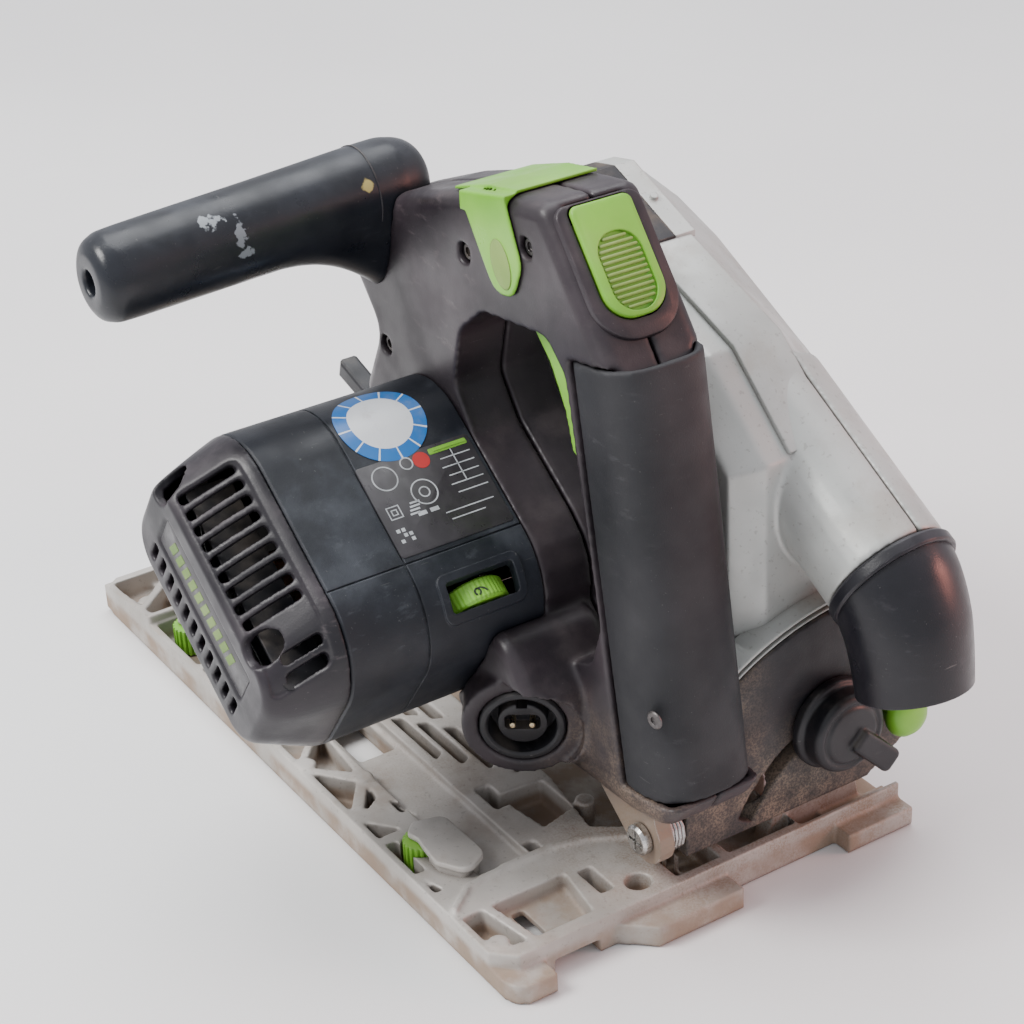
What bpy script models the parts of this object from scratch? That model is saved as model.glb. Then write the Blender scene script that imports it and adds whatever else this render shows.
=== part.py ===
"""Track plunge saw, built in millimetres and scaled to metres as each mesh is made.

+X is the rear of the saw, -Y the motor side, +Y the blade side, +Z up.
The origin is on the sole, in the middle of the base plate.
"""
import bpy
import bmesh
from math import atan2, cos, hypot, pi, radians, sin
from mathutils import Matrix, Vector

MM = 0.001
GAP = 0.35                      # clearance between neighbouring pieces

# Base plate
BASE_LENGTH = 337.0
BASE_WIDTH = 183.0
HALF_L = BASE_LENGTH / 2
HALF_W = BASE_WIDTH / 2
WALL_TOP = 14.5
FLOOR = 4.0
LOW_CORNER = 5.0

# Plunging unit: swings about an axis along Y behind the blade
PIVOT_X, PIVOT_Z = 150.0, 33.0
TILT = radians(36.0)            # nose-up angle of the motor at rest
PLUNGE = 24.0                   # degrees from rest to full depth
MOTOR_X, MOTOR_Z = 41.5, 116.6
SECTION_A, SECTION_H = 56.0, 43.0   # half length and half height of the motor section
SECTION_R = 30.0

# Blade and arbor
BLADE_R = 80.0
CUT_DEPTH = 55.0
BLADE_Y = 70.0
ARBOR_REACH = 150.2             # distance from plunge axis to arbor
ARBOR_LOW = BLADE_R - CUT_DEPTH
LOW_ANGLE = atan2(ARBOR_LOW - PIVOT_Z, (ARBOR_REACH ** 2 - (ARBOR_LOW - PIVOT_Z) ** 2) ** 0.5)
REST_ANGLE = LOW_ANGLE + radians(PLUNGE)
ARBOR_X = PIVOT_X - ARBOR_REACH * cos(REST_ANGLE)
ARBOR_Z = PIVOT_Z + ARBOR_REACH * sin(REST_ANGLE)

# Gear train (module 1): motor pinion, layshaft wheel and pinion, arbor wheel
PINION_T, LAY_WHEEL_T, LAY_PINION_T, ARBOR_T = 13, 29, 16, 31
NECK_R = 15.5                    # neck that carries the arbor
MODULE = 1.0
TOOTH = 1.0

# Handle shells
SHELL_L, PART_Y, SHELL_R = -28.0, -7.0, 13.0
WALL = 3.2

# Guard
GUARD_L, SEAM_Y, GUARD_R = 22.0, 66.0, 92.0
SEGMENT_X = 150.0
SEGMENT_T = 7.0
PIER_X = 142.0
KNOB_Y, KNOB_Z = 58.0, 56.0
BEVEL_Y = BLADE_Y
FRONT_SEGMENT_X = -117.0
FRONT_KNOB_Y, FRONT_KNOB_Z = 58.0, 56.0

# Dust port
DUCT_A = Vector((110.0, 62.5, 170.0))
DUCT_B = Vector((181.0, 62.5, 129.0))
DUCT_R = 24.0

LOOKS = {
    "cast": ((0.52, 0.50, 0.47), 0.55, 0.6),
    "guard_paint": ((0.50, 0.51, 0.50), 0.45, 0.4),
    "shell": ((0.030, 0.030, 0.036), 0.55, 0.0),
    "shell_brown": ((0.045, 0.036, 0.040), 0.6, 0.0),
    "soft": ((0.045, 0.045, 0.050), 0.8, 0.0),
    "green": ((0.25, 0.60, 0.06), 0.45, 0.0),
    "steel": ((0.55, 0.55, 0.55), 0.3, 1.0),
    "zinc": ((0.62, 0.63, 0.64), 0.35, 1.0),
    "black": ((0.02, 0.02, 0.022), 0.5, 0.0),
    "copper": ((0.75, 0.36, 0.18), 0.4, 1.0),
    "label": ((0.75, 0.78, 0.82), 0.5, 0.0),
    "plate": ((0.05, 0.05, 0.055), 0.4, 0.0),
    "board": ((0.04, 0.22, 0.08), 0.5, 0.0),
    "carbon": ((0.05, 0.05, 0.05), 0.7, 0.0),
    "iron": ((0.25, 0.25, 0.27), 0.45, 0.9),
}


# ---------------------------------------------------------------- helpers

def clear_objects():
    for item in list(bpy.data.objects):
        bpy.data.objects.remove(item, do_unlink=True)


def paint(obj, look):
    colour, rough, metal = LOOKS[look]
    mat = bpy.data.materials.new(obj.name + "_finish")
    mat.use_nodes = True
    shader = mat.node_tree.nodes["Principled BSDF"]
    shader.inputs["Base Color"].default_value = (*colour, 1.0)
    shader.inputs["Roughness"].default_value = rough
    shader.inputs["Metallic"].default_value = metal
    mat.diffuse_color = (*colour, 1.0)
    obj.data.materials.clear()
    obj.data.materials.append(mat)


def from_bmesh(name, bm, look):
    bmesh.ops.recalc_face_normals(bm, faces=bm.faces)
    bmesh.ops.scale(bm, vec=(MM, MM, MM), verts=bm.verts)
    mesh = bpy.data.meshes.new(name)
    bm.to_mesh(mesh)
    bm.free()
    obj = bpy.data.objects.new(name, mesh)
    bpy.context.scene.collection.objects.link(obj)
    if look:
        paint(obj, look)
    return obj


def loft(name, rings, look=None, closed=False):
    """Skin through rings with equal point counts; the ends are capped unless closed."""
    bm = bmesh.new()
    rows = [[bm.verts.new(p) for p in ring] for ring in rings]
    count = len(rows[0])
    pairs = list(zip(rows, rows[1:]))
    if closed:
        pairs.append((rows[-1], rows[0]))
    for low, high in pairs:
        for i in range(count):
            j = (i + 1) % count
            bm.faces.new((low[i], low[j], high[j], high[i]))
    if not closed:
        bm.faces.new(rows[0])
        bm.faces.new(rows[-1])
    return from_bmesh(name, bm, look)


def to_world(outline, level, axis):
    """Outline pairs are (x, z) for axis Y, (x, y) for axis Z and (y, z) for axis X."""
    if axis == "Y":
        return [Vector((u, level, v)) for u, v in outline]
    if axis == "Z":
        return [Vector((u, v, level)) for u, v in outline]
    return [Vector((level, u, v)) for u, v in outline]


def prism(name, outline, low, high, axis="Y", look=None):
    return loft(name, [to_world(outline, low, axis), to_world(outline, high, axis)], look)


def soft_prism(name, outline, low, high, edge, axis="Y", look=None):
    """Prism whose two end faces are drawn in by a rounded edge."""
    steps = [(0.0, 1.0), (0.3, 0.3), (1.0, 0.0)]
    levels = [(low + edge * up, inset(outline, edge * draw)) for up, draw in steps]
    levels += [(high - edge * up, inset(outline, edge * draw)) for up, draw in reversed(steps)]
    return loft(name, [to_world(points, level, axis) for level, points in levels], look)


def box(name, low, high, look=None):
    (x0, y0, z0), (x1, y1, z1) = low, high
    return prism(name, [(x0, y0), (x1, y0), (x1, y1), (x0, y1)], z0, z1, "Z", look)


def inset(outline, depth):
    """Move every edge of a polygon inwards by depth (outwards if negative)."""
    area = sum(a[0] * b[1] - b[0] * a[1] for a, b in zip(outline, outline[1:] + outline[:1]))
    side = 1.0 if area > 0 else -1.0
    moved = []
    for i, here in enumerate(outline):
        before, after = outline[i - 1], outline[(i + 1) % len(outline)]
        e0 = Vector((here[0] - before[0], here[1] - before[1])).normalized()
        e1 = Vector((after[0] - here[0], after[1] - here[1])).normalized()
        n0 = Vector((-e0.y, e0.x)) * side
        n1 = Vector((-e1.y, e1.x)) * side
        mitre = (n0 + n1) / (1.0 + n0.dot(n1))
        moved.append((here[0] + mitre.x * depth, here[1] + mitre.y * depth))
    return moved


def rounded(corners, steps=4):
    """Corners are (u, v, radius); each becomes an arc tangent to both edges."""
    points = []
    for i, (u, v, radius) in enumerate(corners):
        here = Vector((u, v))
        before = (Vector(corners[i - 1][:2]) - here).normalized()
        after = (Vector(corners[(i + 1) % len(corners)][:2]) - here).normalized()
        if radius <= 0:
            points.append((u, v))
            continue
        half = before.angle(after) / 2
        reach = radius / (sin(half) / cos(half))
        centre = here + (before + after).normalized() * (radius / sin(half))
        start = here + before * reach - centre
        stop = here + after * reach - centre
        turn = start.angle_signed(stop)
        for k in range(steps + 1):
            arm = start.copy()
            arm.rotate(Matrix.Rotation(-turn * k / steps, 2))
            points.append((centre.x + arm.x, centre.y + arm.y))
    return points


def arc(centre, radius, start, stop, steps):
    """Points on a circle, angles in degrees."""
    angles = [radians(start + (stop - start) * k / steps) for k in range(steps + 1)]
    return [(centre[0] + radius * cos(a), centre[1] + radius * sin(a)) for a in angles]


def circle(centre, radius, steps=24):
    return arc(centre, radius, 0.0, 360.0 - 360.0 / steps, steps - 1)


def sector(centre, inner, outer, start, stop, steps=12):
    return arc(centre, outer, start, stop, steps) + arc(centre, inner, stop, start, steps)


def basis(origin, axis):
    """Frame with its Z along axis, standing at origin."""
    turn = Vector(axis).to_track_quat("Z", "Y").to_matrix().to_4x4()
    return Matrix.Translation(Vector(origin)) @ turn


def lathe(name, profile, origin, axis, look=None, steps=24):
    """Turn (radius, height) pairs about an axis; a profile off the axis makes a ring."""
    frame = basis(origin, axis)
    bm = bmesh.new()
    rows = []
    for radius, height in profile:
        if radius == 0:
            rows.append([bm.verts.new(frame @ Vector((0, 0, height)))])
            continue
        rows.append([bm.verts.new(frame @ Vector((
            radius * cos(2 * pi * k / steps), radius * sin(2 * pi * k / steps), height)))
            for k in range(steps)])
    on_axis = profile[0][0] == 0 and profile[-1][0] == 0
    pairs = list(zip(rows, rows[1:]))
    if not on_axis:
        pairs.append((rows[-1], rows[0]))
    for low, high in pairs:
        for i in range(steps):
            j = (i + 1) % steps
            if len(low) == 1:
                bm.faces.new((low[0], high[j], high[i]))
            elif len(high) == 1:
                bm.faces.new((low[i], low[j], high[0]))
            else:
                bm.faces.new((low[i], low[j], high[j], high[i]))
    return from_bmesh(name, bm, look)


def disc(name, radius, low, high, origin, axis, look=None, steps=24):
    profile = [(0, low), (radius, low), (radius, high), (0, high)]
    return lathe(name, profile, origin, axis, look, steps)


def ring(name, inner, outer, low, high, origin, axis, look=None, steps=24):
    profile = [(inner, low), (outer, low), (outer, high), (inner, high)]
    return lathe(name, profile, origin, axis, look, steps)


def is_closed(mesh):
    bm = bmesh.new()
    bm.from_mesh(mesh)
    closed = all(len(edge.link_faces) == 2 for edge in bm.edges)
    bm.free()
    return closed


def evaluated_mesh(obj):
    bpy.context.view_layer.update()
    solid = obj.evaluated_get(bpy.context.evaluated_depsgraph_get())
    return bpy.data.meshes.new_from_object(solid)


def combine(target, tool, operation):
    """Boolean with the exact solver; the manifold solver takes over if that leaves a hole."""
    step = target.modifiers.new(operation.lower(), "BOOLEAN")
    step.operation = operation
    step.solver = "EXACT"
    step.object = tool
    mesh = evaluated_mesh(target)
    if not is_closed(mesh):
        step.solver = "MANIFOLD"
        mesh = evaluated_mesh(target)
    target.modifiers.clear()
    finish = target.data.materials[0] if target.data.materials else None
    target.data = mesh
    target.data.materials.clear()
    if finish:
        target.data.materials.append(finish)
    bpy.data.objects.remove(tool, do_unlink=True)
    return target


def cut(target, *tools):
    for tool in tools:
        combine(target, tool, "DIFFERENCE")
    return target


def fuse(target, *tools):
    for tool in tools:
        combine(target, tool, "UNION")
    return target


def keep(target, tool):
    return combine(target, tool, "INTERSECT")


def copy_of(obj, name):
    twin = obj.copy()
    twin.data = obj.data.copy()
    twin.name = name
    bpy.context.scene.collection.objects.link(twin)
    return twin


def pivot_at(obj, point):
    """Put the object's origin on its joint axis."""
    spot = Vector(point) * MM
    obj.data.transform(Matrix.Translation(-spot))
    obj.location = spot
    return obj


def tidy_mesh(obj):
    """Drop needless edges, unless that would open the body, and shade the rounds smooth."""
    for merge, dissolve in ((True, True), (True, False), (False, False)):
        bm = bmesh.new()
        bm.from_mesh(obj.data)
        if merge:
            bmesh.ops.remove_doubles(bm, verts=bm.verts, dist=0.000005)
        if dissolve:
            bmesh.ops.dissolve_degenerate(bm, edges=bm.edges, dist=0.000005)
            bmesh.ops.dissolve_limit(bm, angle_limit=radians(0.3), verts=bm.verts, edges=bm.edges)
        bmesh.ops.triangulate(bm, faces=[face for face in bm.faces if len(face.verts) > 4])
        closed = all(len(edge.link_faces) == 2 for edge in bm.edges)
        if closed:
            bm.to_mesh(obj.data)
        bm.free()
        if closed:
            break
    obj.data.polygons.foreach_set("use_smooth", [True] * len(obj.data.polygons))
    obj.data.set_sharp_from_angle(angle=radians(32))


def unit(a, h):
    """World (x, z) of a point given along and across the tilted motor section."""
    return (MOTOR_X + a * cos(TILT) + h * sin(TILT), MOTOR_Z - a * sin(TILT) + h * cos(TILT))


def motor_section(grow=0.0, radius=SECTION_R, steps=5):
    a, h = SECTION_A + grow, SECTION_H + grow
    radius += grow
    corners = rounded([(-a, -h, radius), (a, -h, radius), (a, h, radius), (-a, h, radius)], steps)
    return [unit(u, v) for u, v in corners]


MOTOR = (MOTOR_X, MOTOR_Z)
ARBOR = (ARBOR_X, ARBOR_Z)
PIVOT = (PIVOT_X, PIVOT_Z)


def layshaft():
    """Centre of the layshaft, one mesh away from both the motor and the arbor."""
    to_motor = (PINION_T + LAY_WHEEL_T) / 2 * MODULE
    to_arbor = (LAY_PINION_T + ARBOR_T) / 2 * MODULE
    span = hypot(MOTOR_X - ARBOR_X, MOTOR_Z - ARBOR_Z)
    along = (span ** 2 + to_arbor ** 2 - to_motor ** 2) / (2 * span)
    off = max(to_arbor ** 2 - along ** 2, 0.0) ** 0.5
    ux, uz = (MOTOR_X - ARBOR_X) / span, (MOTOR_Z - ARBOR_Z) / span
    return (ARBOR_X + ux * along + uz * off, ARBOR_Z + uz * along - ux * off)


LAY = layshaft()


# ---------------------------------------------------------------- base plate body

WALL_T = 3.0
SLOT_X0, SLOT_X1 = -124.0, 128.0
SLOT_Y = 57.0


def base_outline():
    return [
        (-HALF_L, -HALF_W + 6), (-HALF_L + 6, -HALF_W), (152.0, -HALF_W), (160.0, -HALF_W + 8),
        (160.0, HALF_W), (SLOT_X1, HALF_W), (SLOT_X1, SLOT_Y), (SLOT_X0, SLOT_Y),
        (SLOT_X0, HALF_W), (-HALF_L + 4, HALF_W), (-HALF_L, HALF_W - 4),
    ]


def base_pockets():
    """Plan outlines of the hollows between the ribs, each with its floor height."""
    left = -HALF_W + WALL_T
    deep = FLOOR
    pockets = []
    # front corner box, split by one diagonal rib
    pockets.append(([(-164, left), (-134, left), (-164, -62)], deep))
    pockets.append(([(-130, left), (-124, left), (-124, -58), (-160, -58)], deep))
    # tray that carries the front cam
    pockets.append(([(-120, left), (-80, left), (-80, -62), (-120, -62)], 5.0))
    # diagonal rib fan along the left wall
    pockets.append(([(-76, left), (-36, left), (-74, -70)], deep))
    pockets.append(([(-31, left), (-18, -70), (-68, -70)], deep))
    pockets.append(([(-26, left), (8, left), (-11, -71)], deep))
    pockets.append(([(13, left), (28, -74), (-6, -71)], deep))
    pockets.append(([(18, left), (50, left), (34, -77)], deep))
    pockets.append(([(54, -85), (38, -74), (48, -76)], deep))
    pockets.append(([(58, left), (71, left), (71, -78)], deep))
    pockets.append(([(51, -73), (62, -67), (62, -73)], 6.0))
    # tray that carries the rear cam
    pockets.append(([(76, left), (98, left), (98, -84), (76, -84)], 5.0))
    pockets.append(([(100, left), (112, left), (112, -85)], deep))
    # lattice of slanted slots beside the raised band
    for k in range(4):
        start = 4.0 + 9.0 * k
        low = -44.0 + 7.0 * k
        pockets.append(([(start, low), (start + 36, low), (start + 33, low + 4.6),
                         (start + 3, low + 4.6)], deep))
    for k in range(3):
        start = 2.0 + 8.0 * k
        pockets.append(([(start - 26, -44 + 7.0 * k), (start - 4, -44 + 7.0 * k),
                         (start - 1, -39.4 + 7.0 * k), (start - 22, -39.4 + 7.0 * k)], deep))
    # plain floor under the motor and the gear housing
    pockets.append(([(-118, -44), (-34, -44), (-8, -14), (38, -14), (76, -14), (112, -20),
                     (124, -4), (124, 54), (-118, 54)], deep))
    pockets.append(([(74, -38), (102, -34), (98, -18), (76, -18)], deep))
    # rear trays behind the curved wall
    pockets.append(([(130, left), (152, left), (154, -76), (130, -80)], deep))
    pockets.append(([(130, -76), (154, -72), (154, -48), (130, -44)], 8.0))
    pockets.append(([(132, -40), (148, -40), (148, -34), (132, -34)], deep))
    pockets.append(([(132, -12), (156, -12), (156, 8), (132, 8)], deep))
    # front right corner and rear right corner
    pockets.append(([(-164, -52), (-122, -52), (-122, 52), (-164, 52)], deep))
    pockets.append(([(-164, 56), (-128, 56), (-128, 87), (-164, 87)], deep))
    pockets.append(([(131, 12), (156, 12), (156, 44), (131, 44)], deep))
    return pockets


def base_windows():
    """Openings right through the plate."""
    return [
        [(-10.0, -66.5), (19.0, -66.5), (19.0, -50.5), (-10.0, -50.5)],
        [(66.0, -42.5), (82.0, -42.5), (82.0, -36.5), (66.0, -36.5)],
        [(106.0, -47.0), (114.0, -47.0), (114.0, -42.0), (106.0, -42.0)],
        [(132.0, -69.0), (148.0, -69.0), (148.0, -64.0), (132.0, -64.0)],
        [(-148.0, -30.0), (-132.0, -30.0), (-132.0, -18.0), (-148.0, -18.0)],
    ]


def base_feet():
    """Lugs that stand out behind the rear wall, and the front lip."""
    left = rounded([(150, -HALF_W, 3), (HALF_L + 1, -HALF_W, 9), (HALF_L + 1, -73, 2),
                    (150, -73, 0)], 4)
    middle = [(150, -43), (159, -43), (HALF_L + 2.5, -30), (HALF_L + 2.5, 8), (150, 8)]
    right = [(150, 60), (HALF_L, 60), (HALF_L, HALF_W), (150, HALF_W)]
    return [(left, 8.0), (middle, 8.8), (right, 8.0)]


def wing_wall():
    """Curved wall from the rear cam to the rear edge, 3 mm thick."""
    spine = [(126, -HALF_W + 2), (116.5, -77), (115, -60), (115, -40), (118, -27), (125, -14),
             (136, -7), (152, -5)]
    outer = [(x - 1.6, y) for x, y in spine]
    inner = [(x + 1.6, y) for x, y in reversed(spine)]
    return outer + inner


def build_base_plate():
    base = prism("base_plate", base_outline(), 0.0, WALL_TOP, "Z", "cast")
    ramp = [(-HALF_L, 1.0), (-121, 1.0), (-121, 19.0), (-HALF_L, 13.0)]
    fuse(base, prism("corner", ramp, -HALF_W, -55.0))
    cut(base, box("front", (-HALF_L - 10, -HALF_W - 5, 13.0), (-HALF_L + 0.5, HALF_W + 5, 30)))
    for outline, floor in base_pockets():
        cut(base, prism("pocket", outline, floor, 30.0, "Z"))
    # the raised band is lower than the walls
    cut(base, box("band", (-118, -69.8, 11.0), (114, -48.2, 30.0)))
    # edge beside the blade slot and rear right corner are low, under the guard
    cut(base, box("edge", (-121, 53.0, 6.0), (127, SLOT_Y + 1, 30.0)))
    cut(base, box("low_corner", (126, 44.5, LOW_CORNER), (157.8, HALF_W + 5, 30.0)))
    # channel in the sole for the rib of the guide rail, and its roof
    fuse(base, box("roof", (-164, -70, 3.0), (158, -48, 7.5)))
    cut(base, box("channel", (-200, -68.5, -5.0), (200, -49.5, 5.5)))
    for outline in base_windows():
        cut(base, prism("window", outline, -5.0, 30.0, "Z"))
    for outline, top in base_feet():
        fuse(base, prism("foot", outline, 0.0, top, "Z"))
    fuse(base, prism("wing", wing_wall(), 6.0, 16.0, "Z"))
    for x, y in ((33.0, -73.0), (12.0, -87.0), (97.0, -12.0), (-141.0, -83.0), (149.0, -85.0)):
        fuse(base, disc("boss", 4.0, 1.0, WALL_TOP + 0.6, (x, y, 0), (0, 0, 1), steps=16))
    fuse(base, disc("boss", 7.5, 1.0, 13.0, (150, -25, 0), (0, 0, 1), steps=20))
    cut(base, disc("bore", 5.0, 6.0, 20.0, (150, -25, 0), (0, 0, 1), steps=20))
    for x, y in CAM_SPOTS:
        cut(base, disc("bore", CAM_R + 0.6, 4.5, 30.0, (x, y, 0), (0, 0, 1), steps=24))
        cut(base, disc("bore", 2.6, -5, 30.0, (x, y, 0), (0, 0, 1), steps=16))
    fuse(base, pier(PIER_X, SEGMENT_X - GAP, KNOB_Y, KNOB_Z, KNOB_Y + 24))
    front_inner = FRONT_SEGMENT_X + SEGMENT_T + GAP
    fuse(base, pier(front_inner, front_inner + 7.6, FRONT_KNOB_Y, FRONT_KNOB_Z, SLOT_Y - 1))
    return base


CAM_SPOTS = ((-108.0, -78.0), (84.0, -77.0))
CAM_R = 7.5


def build_cam(name, spot):
    """Rail-play adjuster: a fluted wheel on a peg through the floor."""
    flutes = 20
    outline = []
    for k in range(flutes):
        a = 360.0 / flutes * k
        outline += arc((spot[0], spot[1]), CAM_R, a, a + 9, 1)
        outline += arc((spot[0], spot[1]), CAM_R - 0.7, a + 11, a + 15, 1)
    cam = prism(name, outline, 5.2, 17.0, "Z", "green")
    fuse(cam, disc("peg", 2.2, 1.0, 6.0, (spot[0], spot[1], 0), (0, 0, 1), steps=16))
    return pivot_at(cam, (spot[0], spot[1], 8.0))


def pier(x0, x1, y, z, foot):
    """Clamp pier cast on the base: a web with a round head about the clamp bolt."""
    head = arc((y, z), 12.0, -20, 200, 10)
    web = prism("pier", [(foot, 2.0)] + head + [(y - 24, 2.0)], x0, x1, "X")
    return cut(web, disc("bore", 3.4, -50, 50, (x0, y, z), (1, 0, 0), steps=20))


def build_clamp_bolt(name, x_head, x_tip, y, z):
    way = 1.0 if x_tip > x_head else -1.0
    long = abs(x_tip - x_head)
    profile = [(0, 0), (5.5, 0), (5.5, 3.0), (3.0, 3.0), (3.0, long), (0, long)]
    return lathe(name, profile, (x_head, y, z), (way, 0, 0), "zinc", 20)


def build_knob(name, x, way, y, z, turn):
    """Clamp knob: a round cap with one long wing."""
    origin = (x, y, z)
    profile = [(0, 0), (18.5, 0), (18.5, 4.0), (16.0, 5.0), (16.0, 12.0), (14.5, 14.0), (0, 14.0)]
    knob = lathe(name, profile, origin, (way, 0, 0), "black", 36)
    wing = rounded([(-5, 4, 0), (-5, 26, 3), (5, 26, 3), (5, 4, 0)], 3)
    placed = [(y + u * cos(turn) + v * sin(turn), z - u * sin(turn) + v * cos(turn))
              for u, v in wing]
    low, high = sorted((x + way * 3.0, x + way * 17.0))
    fuse(knob, prism("wing", placed, low, high, "X"))
    cut(knob, disc("bore", 3.3, -1, 9.0, origin, (way, 0, 0), steps=20))
    return pivot_at(knob, origin)


def build_base_body():
    build_base_plate()
    build_cam("rail_cam_front", CAM_SPOTS[0])
    build_cam("rail_cam_rear", CAM_SPOTS[1])
    front_inner = FRONT_SEGMENT_X + SEGMENT_T
    rear_face = SEGMENT_X + SEGMENT_T + GAP
    build_clamp_bolt("rear_clamp_bolt", PIER_X - 3.0 - GAP, rear_face + 8.0, KNOB_Y, KNOB_Z)
    front_face = FRONT_SEGMENT_X - GAP
    build_clamp_bolt("front_clamp_bolt", front_inner + 11.6, front_face - 8.0,
                     FRONT_KNOB_Y, FRONT_KNOB_Z)
    build_knob("rear_bevel_knob", rear_face, 1.0, KNOB_Y, KNOB_Z, radians(135.0))
    build_knob("front_bevel_knob", front_face, -1.0, FRONT_KNOB_Y, FRONT_KNOB_Z, radians(-60.0))


# ---------------------------------------------------------------- guard body

def guard_inner_outline():
    return [(-97, 7), (-97, 128), (-58, 185), (12, 228), (26, 231), (65, 215), (116, 196),
            (149, 166), (149, 73), (138, 71), (138, 40), (118, 7)]


def guard_outer_outline():
    return [(-92, 7), (-92, 120), (-58, 174), (-4, 216), (20, 212), (46, 203), (98, 177),
            (147, 151), (144, 75), (134, 71), (134, 40), (114, 7)]


def bevel_clear(y):
    """Lowest height that still clears the sole at the far end of the bevel range."""
    return 1.0 + max(y - BEVEL_Y, 0.0) * 1.1


def guard_solid(grow):
    """The whole guard as one block; grow is negative for the cavity."""
    left = GUARD_L - grow
    right = GUARD_R + grow
    inner = inset(guard_inner_outline(), -grow)
    outer = inset(guard_outer_outline(), -grow)
    narrow = inset(inner, 7.0)
    rings = [to_world(narrow, left, "Y"), to_world(inner, left + 12.0, "Y"),
             to_world(inner, SEAM_Y, "Y"), to_world(outer, right, "Y")]
    return loft("guard_block", rings)


def duct(radius, reach):
    axis = (DUCT_B - DUCT_A).normalized()
    return disc("duct", radius, 0.0, (DUCT_B - DUCT_A).length + reach, DUCT_A, axis, steps=36)


def build_guard_shells():
    block = guard_solid(0.0)
    fuse(block, duct(DUCT_R, -GAP))
    cut(block, guard_solid(-3.0))
    cut(block, box("mouth", (-94, 25, -20), (122, 100, 24)))
    cut(block, duct(DUCT_R - 3.5, 20.0))
    # opening in the motor side wall for the arbor neck, an arc about the plunge axis
    start, stop = 180.0 - 22.0 - 10.5, 180.0 + 3.0 + 10.5
    cut(block, prism("neck_slot", sector(PIVOT, ARBOR_REACH - 27, ARBOR_REACH + 27, start, stop),
                     GUARD_L - 10, 45.0))
    # underside of the blade side sloped to clear the sole when tilted
    slope = [(BEVEL_Y, -30), (BEVEL_Y, 1.0), (100, bevel_clear(100.0)), (100, -30)]
    cut(block, prism("slope", slope, -200, 200, "X"))
    cover = copy_of(block, "guard_cover")
    block.name = "guard_housing"
    keep(block, box("half", (-300, -50, -50), (300, SEAM_Y - GAP / 2, 400)))
    keep(cover, box("half", (-300, SEAM_Y + GAP / 2, -50), (300, 150, 400)))
    paint(block, "guard_paint")
    paint(cover, "guard_paint")


BUTTON_AT = (SEGMENT_X + SEGMENT_T + GAP, 88.0, 51.0)


def build_segments():
    """Bevel segments: plates across the saw, their edge an arc about the bevel axis."""
    centre = (BEVEL_Y, 0.0)
    rear = [(-8, 22), (78, 22), (97, 34), (97, 62)] + arc(centre, 104.0, 64, 121, 8)
    rear += [(14.5, 88), (14.5, 41), (-8, 41)]
    plate = prism("rear_segment", rear, SEGMENT_X, SEGMENT_X + SEGMENT_T, "X", "black")
    lug = disc("lug", 9.5, -8, 2, (PIVOT_X, 0, PIVOT_Z), (0, 1, 0), steps=28)
    fuse(plate, keep(lug, box("flush", (100, -20, 0), (SEGMENT_X + SEGMENT_T, 20, 80))))
    reach = hypot(BEVEL_Y - KNOB_Y, KNOB_Z)
    rest = 90.0 + atan2(BEVEL_Y - KNOB_Y, KNOB_Z) * 180 / pi
    slot = sector(centre, reach - 3.6, reach + 3.6, rest - 4.5, rest + 50.5, 10)
    cut(plate, prism("slot", slot, 100, 200, "X"))
    cut(plate, disc("bore", 4.4, -40, 40, (PIVOT_X, 0, PIVOT_Z), (0, 1, 0), steps=20))
    cut(plate, disc("recess", 7.0 + GAP, -4.0, 2.0, BUTTON_AT, (1, 0, 0), steps=24))

    back = FRONT_SEGMENT_X + SEGMENT_T
    front = [(2, 22), (80, 21), (88, 30), (88, 50)] + arc(centre, 92.0, 72, 135, 8) + [(2, 55)]
    plate = prism("front_segment", front, FRONT_SEGMENT_X, back, "X", "black")
    pad = sector(centre, 72.0, 90.0, 92.0, 122.0, 6)
    fuse(plate, prism("pad", pad, back - 1.0, -97 - GAP, "X"))
    reach = hypot(BEVEL_Y - FRONT_KNOB_Y, FRONT_KNOB_Z)
    slot = sector(centre, reach - 3.6, reach + 3.6, rest - 4.5, rest + 50.5, 10)
    cut(plate, prism("slot", slot, -200, -100, "X"))


STOP_R = 240.0
STOP_ANGLE = 163.4


def build_depth_stop():
    """Curved depth scale on the guard and the stop that rides on it."""
    scale = sector(PIVOT, STOP_R - 6, STOP_R + 6, 141, 168, 12)
    strip = prism("depth_scale", scale, 19.4, GUARD_L - GAP, "Y", "plate")
    block = sector(PIVOT, STOP_R - 9, STOP_R + 9, STOP_ANGLE - 2.5, STOP_ANGLE + 2.5, 2)
    stop = prism("depth_stop", block, 13.6, 19.4 - GAP, "Y", "black")
    finger = sector(PIVOT, STOP_R + 6, STOP_R + 36, STOP_ANGLE - 0.9, STOP_ANGLE + 0.9, 2)
    fuse(stop, soft_prism("finger", finger, 8.0, 17.0, 1.5))
    pivot_at(stop, (PIVOT_X, 16.0, PIVOT_Z))
    return strip, stop


def build_top_plate():
    """Black front plate, and the painted strip with its rivet, on top of the guard."""
    cap = [(13, 229), (26, 231.4), (64, 216), (64, 218.5), (26, 234.5), (13, 232)]
    prism("top_plate", cap, 36.0, 58.0, "Y", "black")
    strip = prism("top_strip", cap, 58.0 + GAP, SEAM_Y + 1, "Y", "guard_paint")
    fuse(strip, disc("rivet", 1.6, -1.0, 1.2, (45, 62.2, 226.6), (0.39, 0, 0.92), steps=16))


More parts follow.
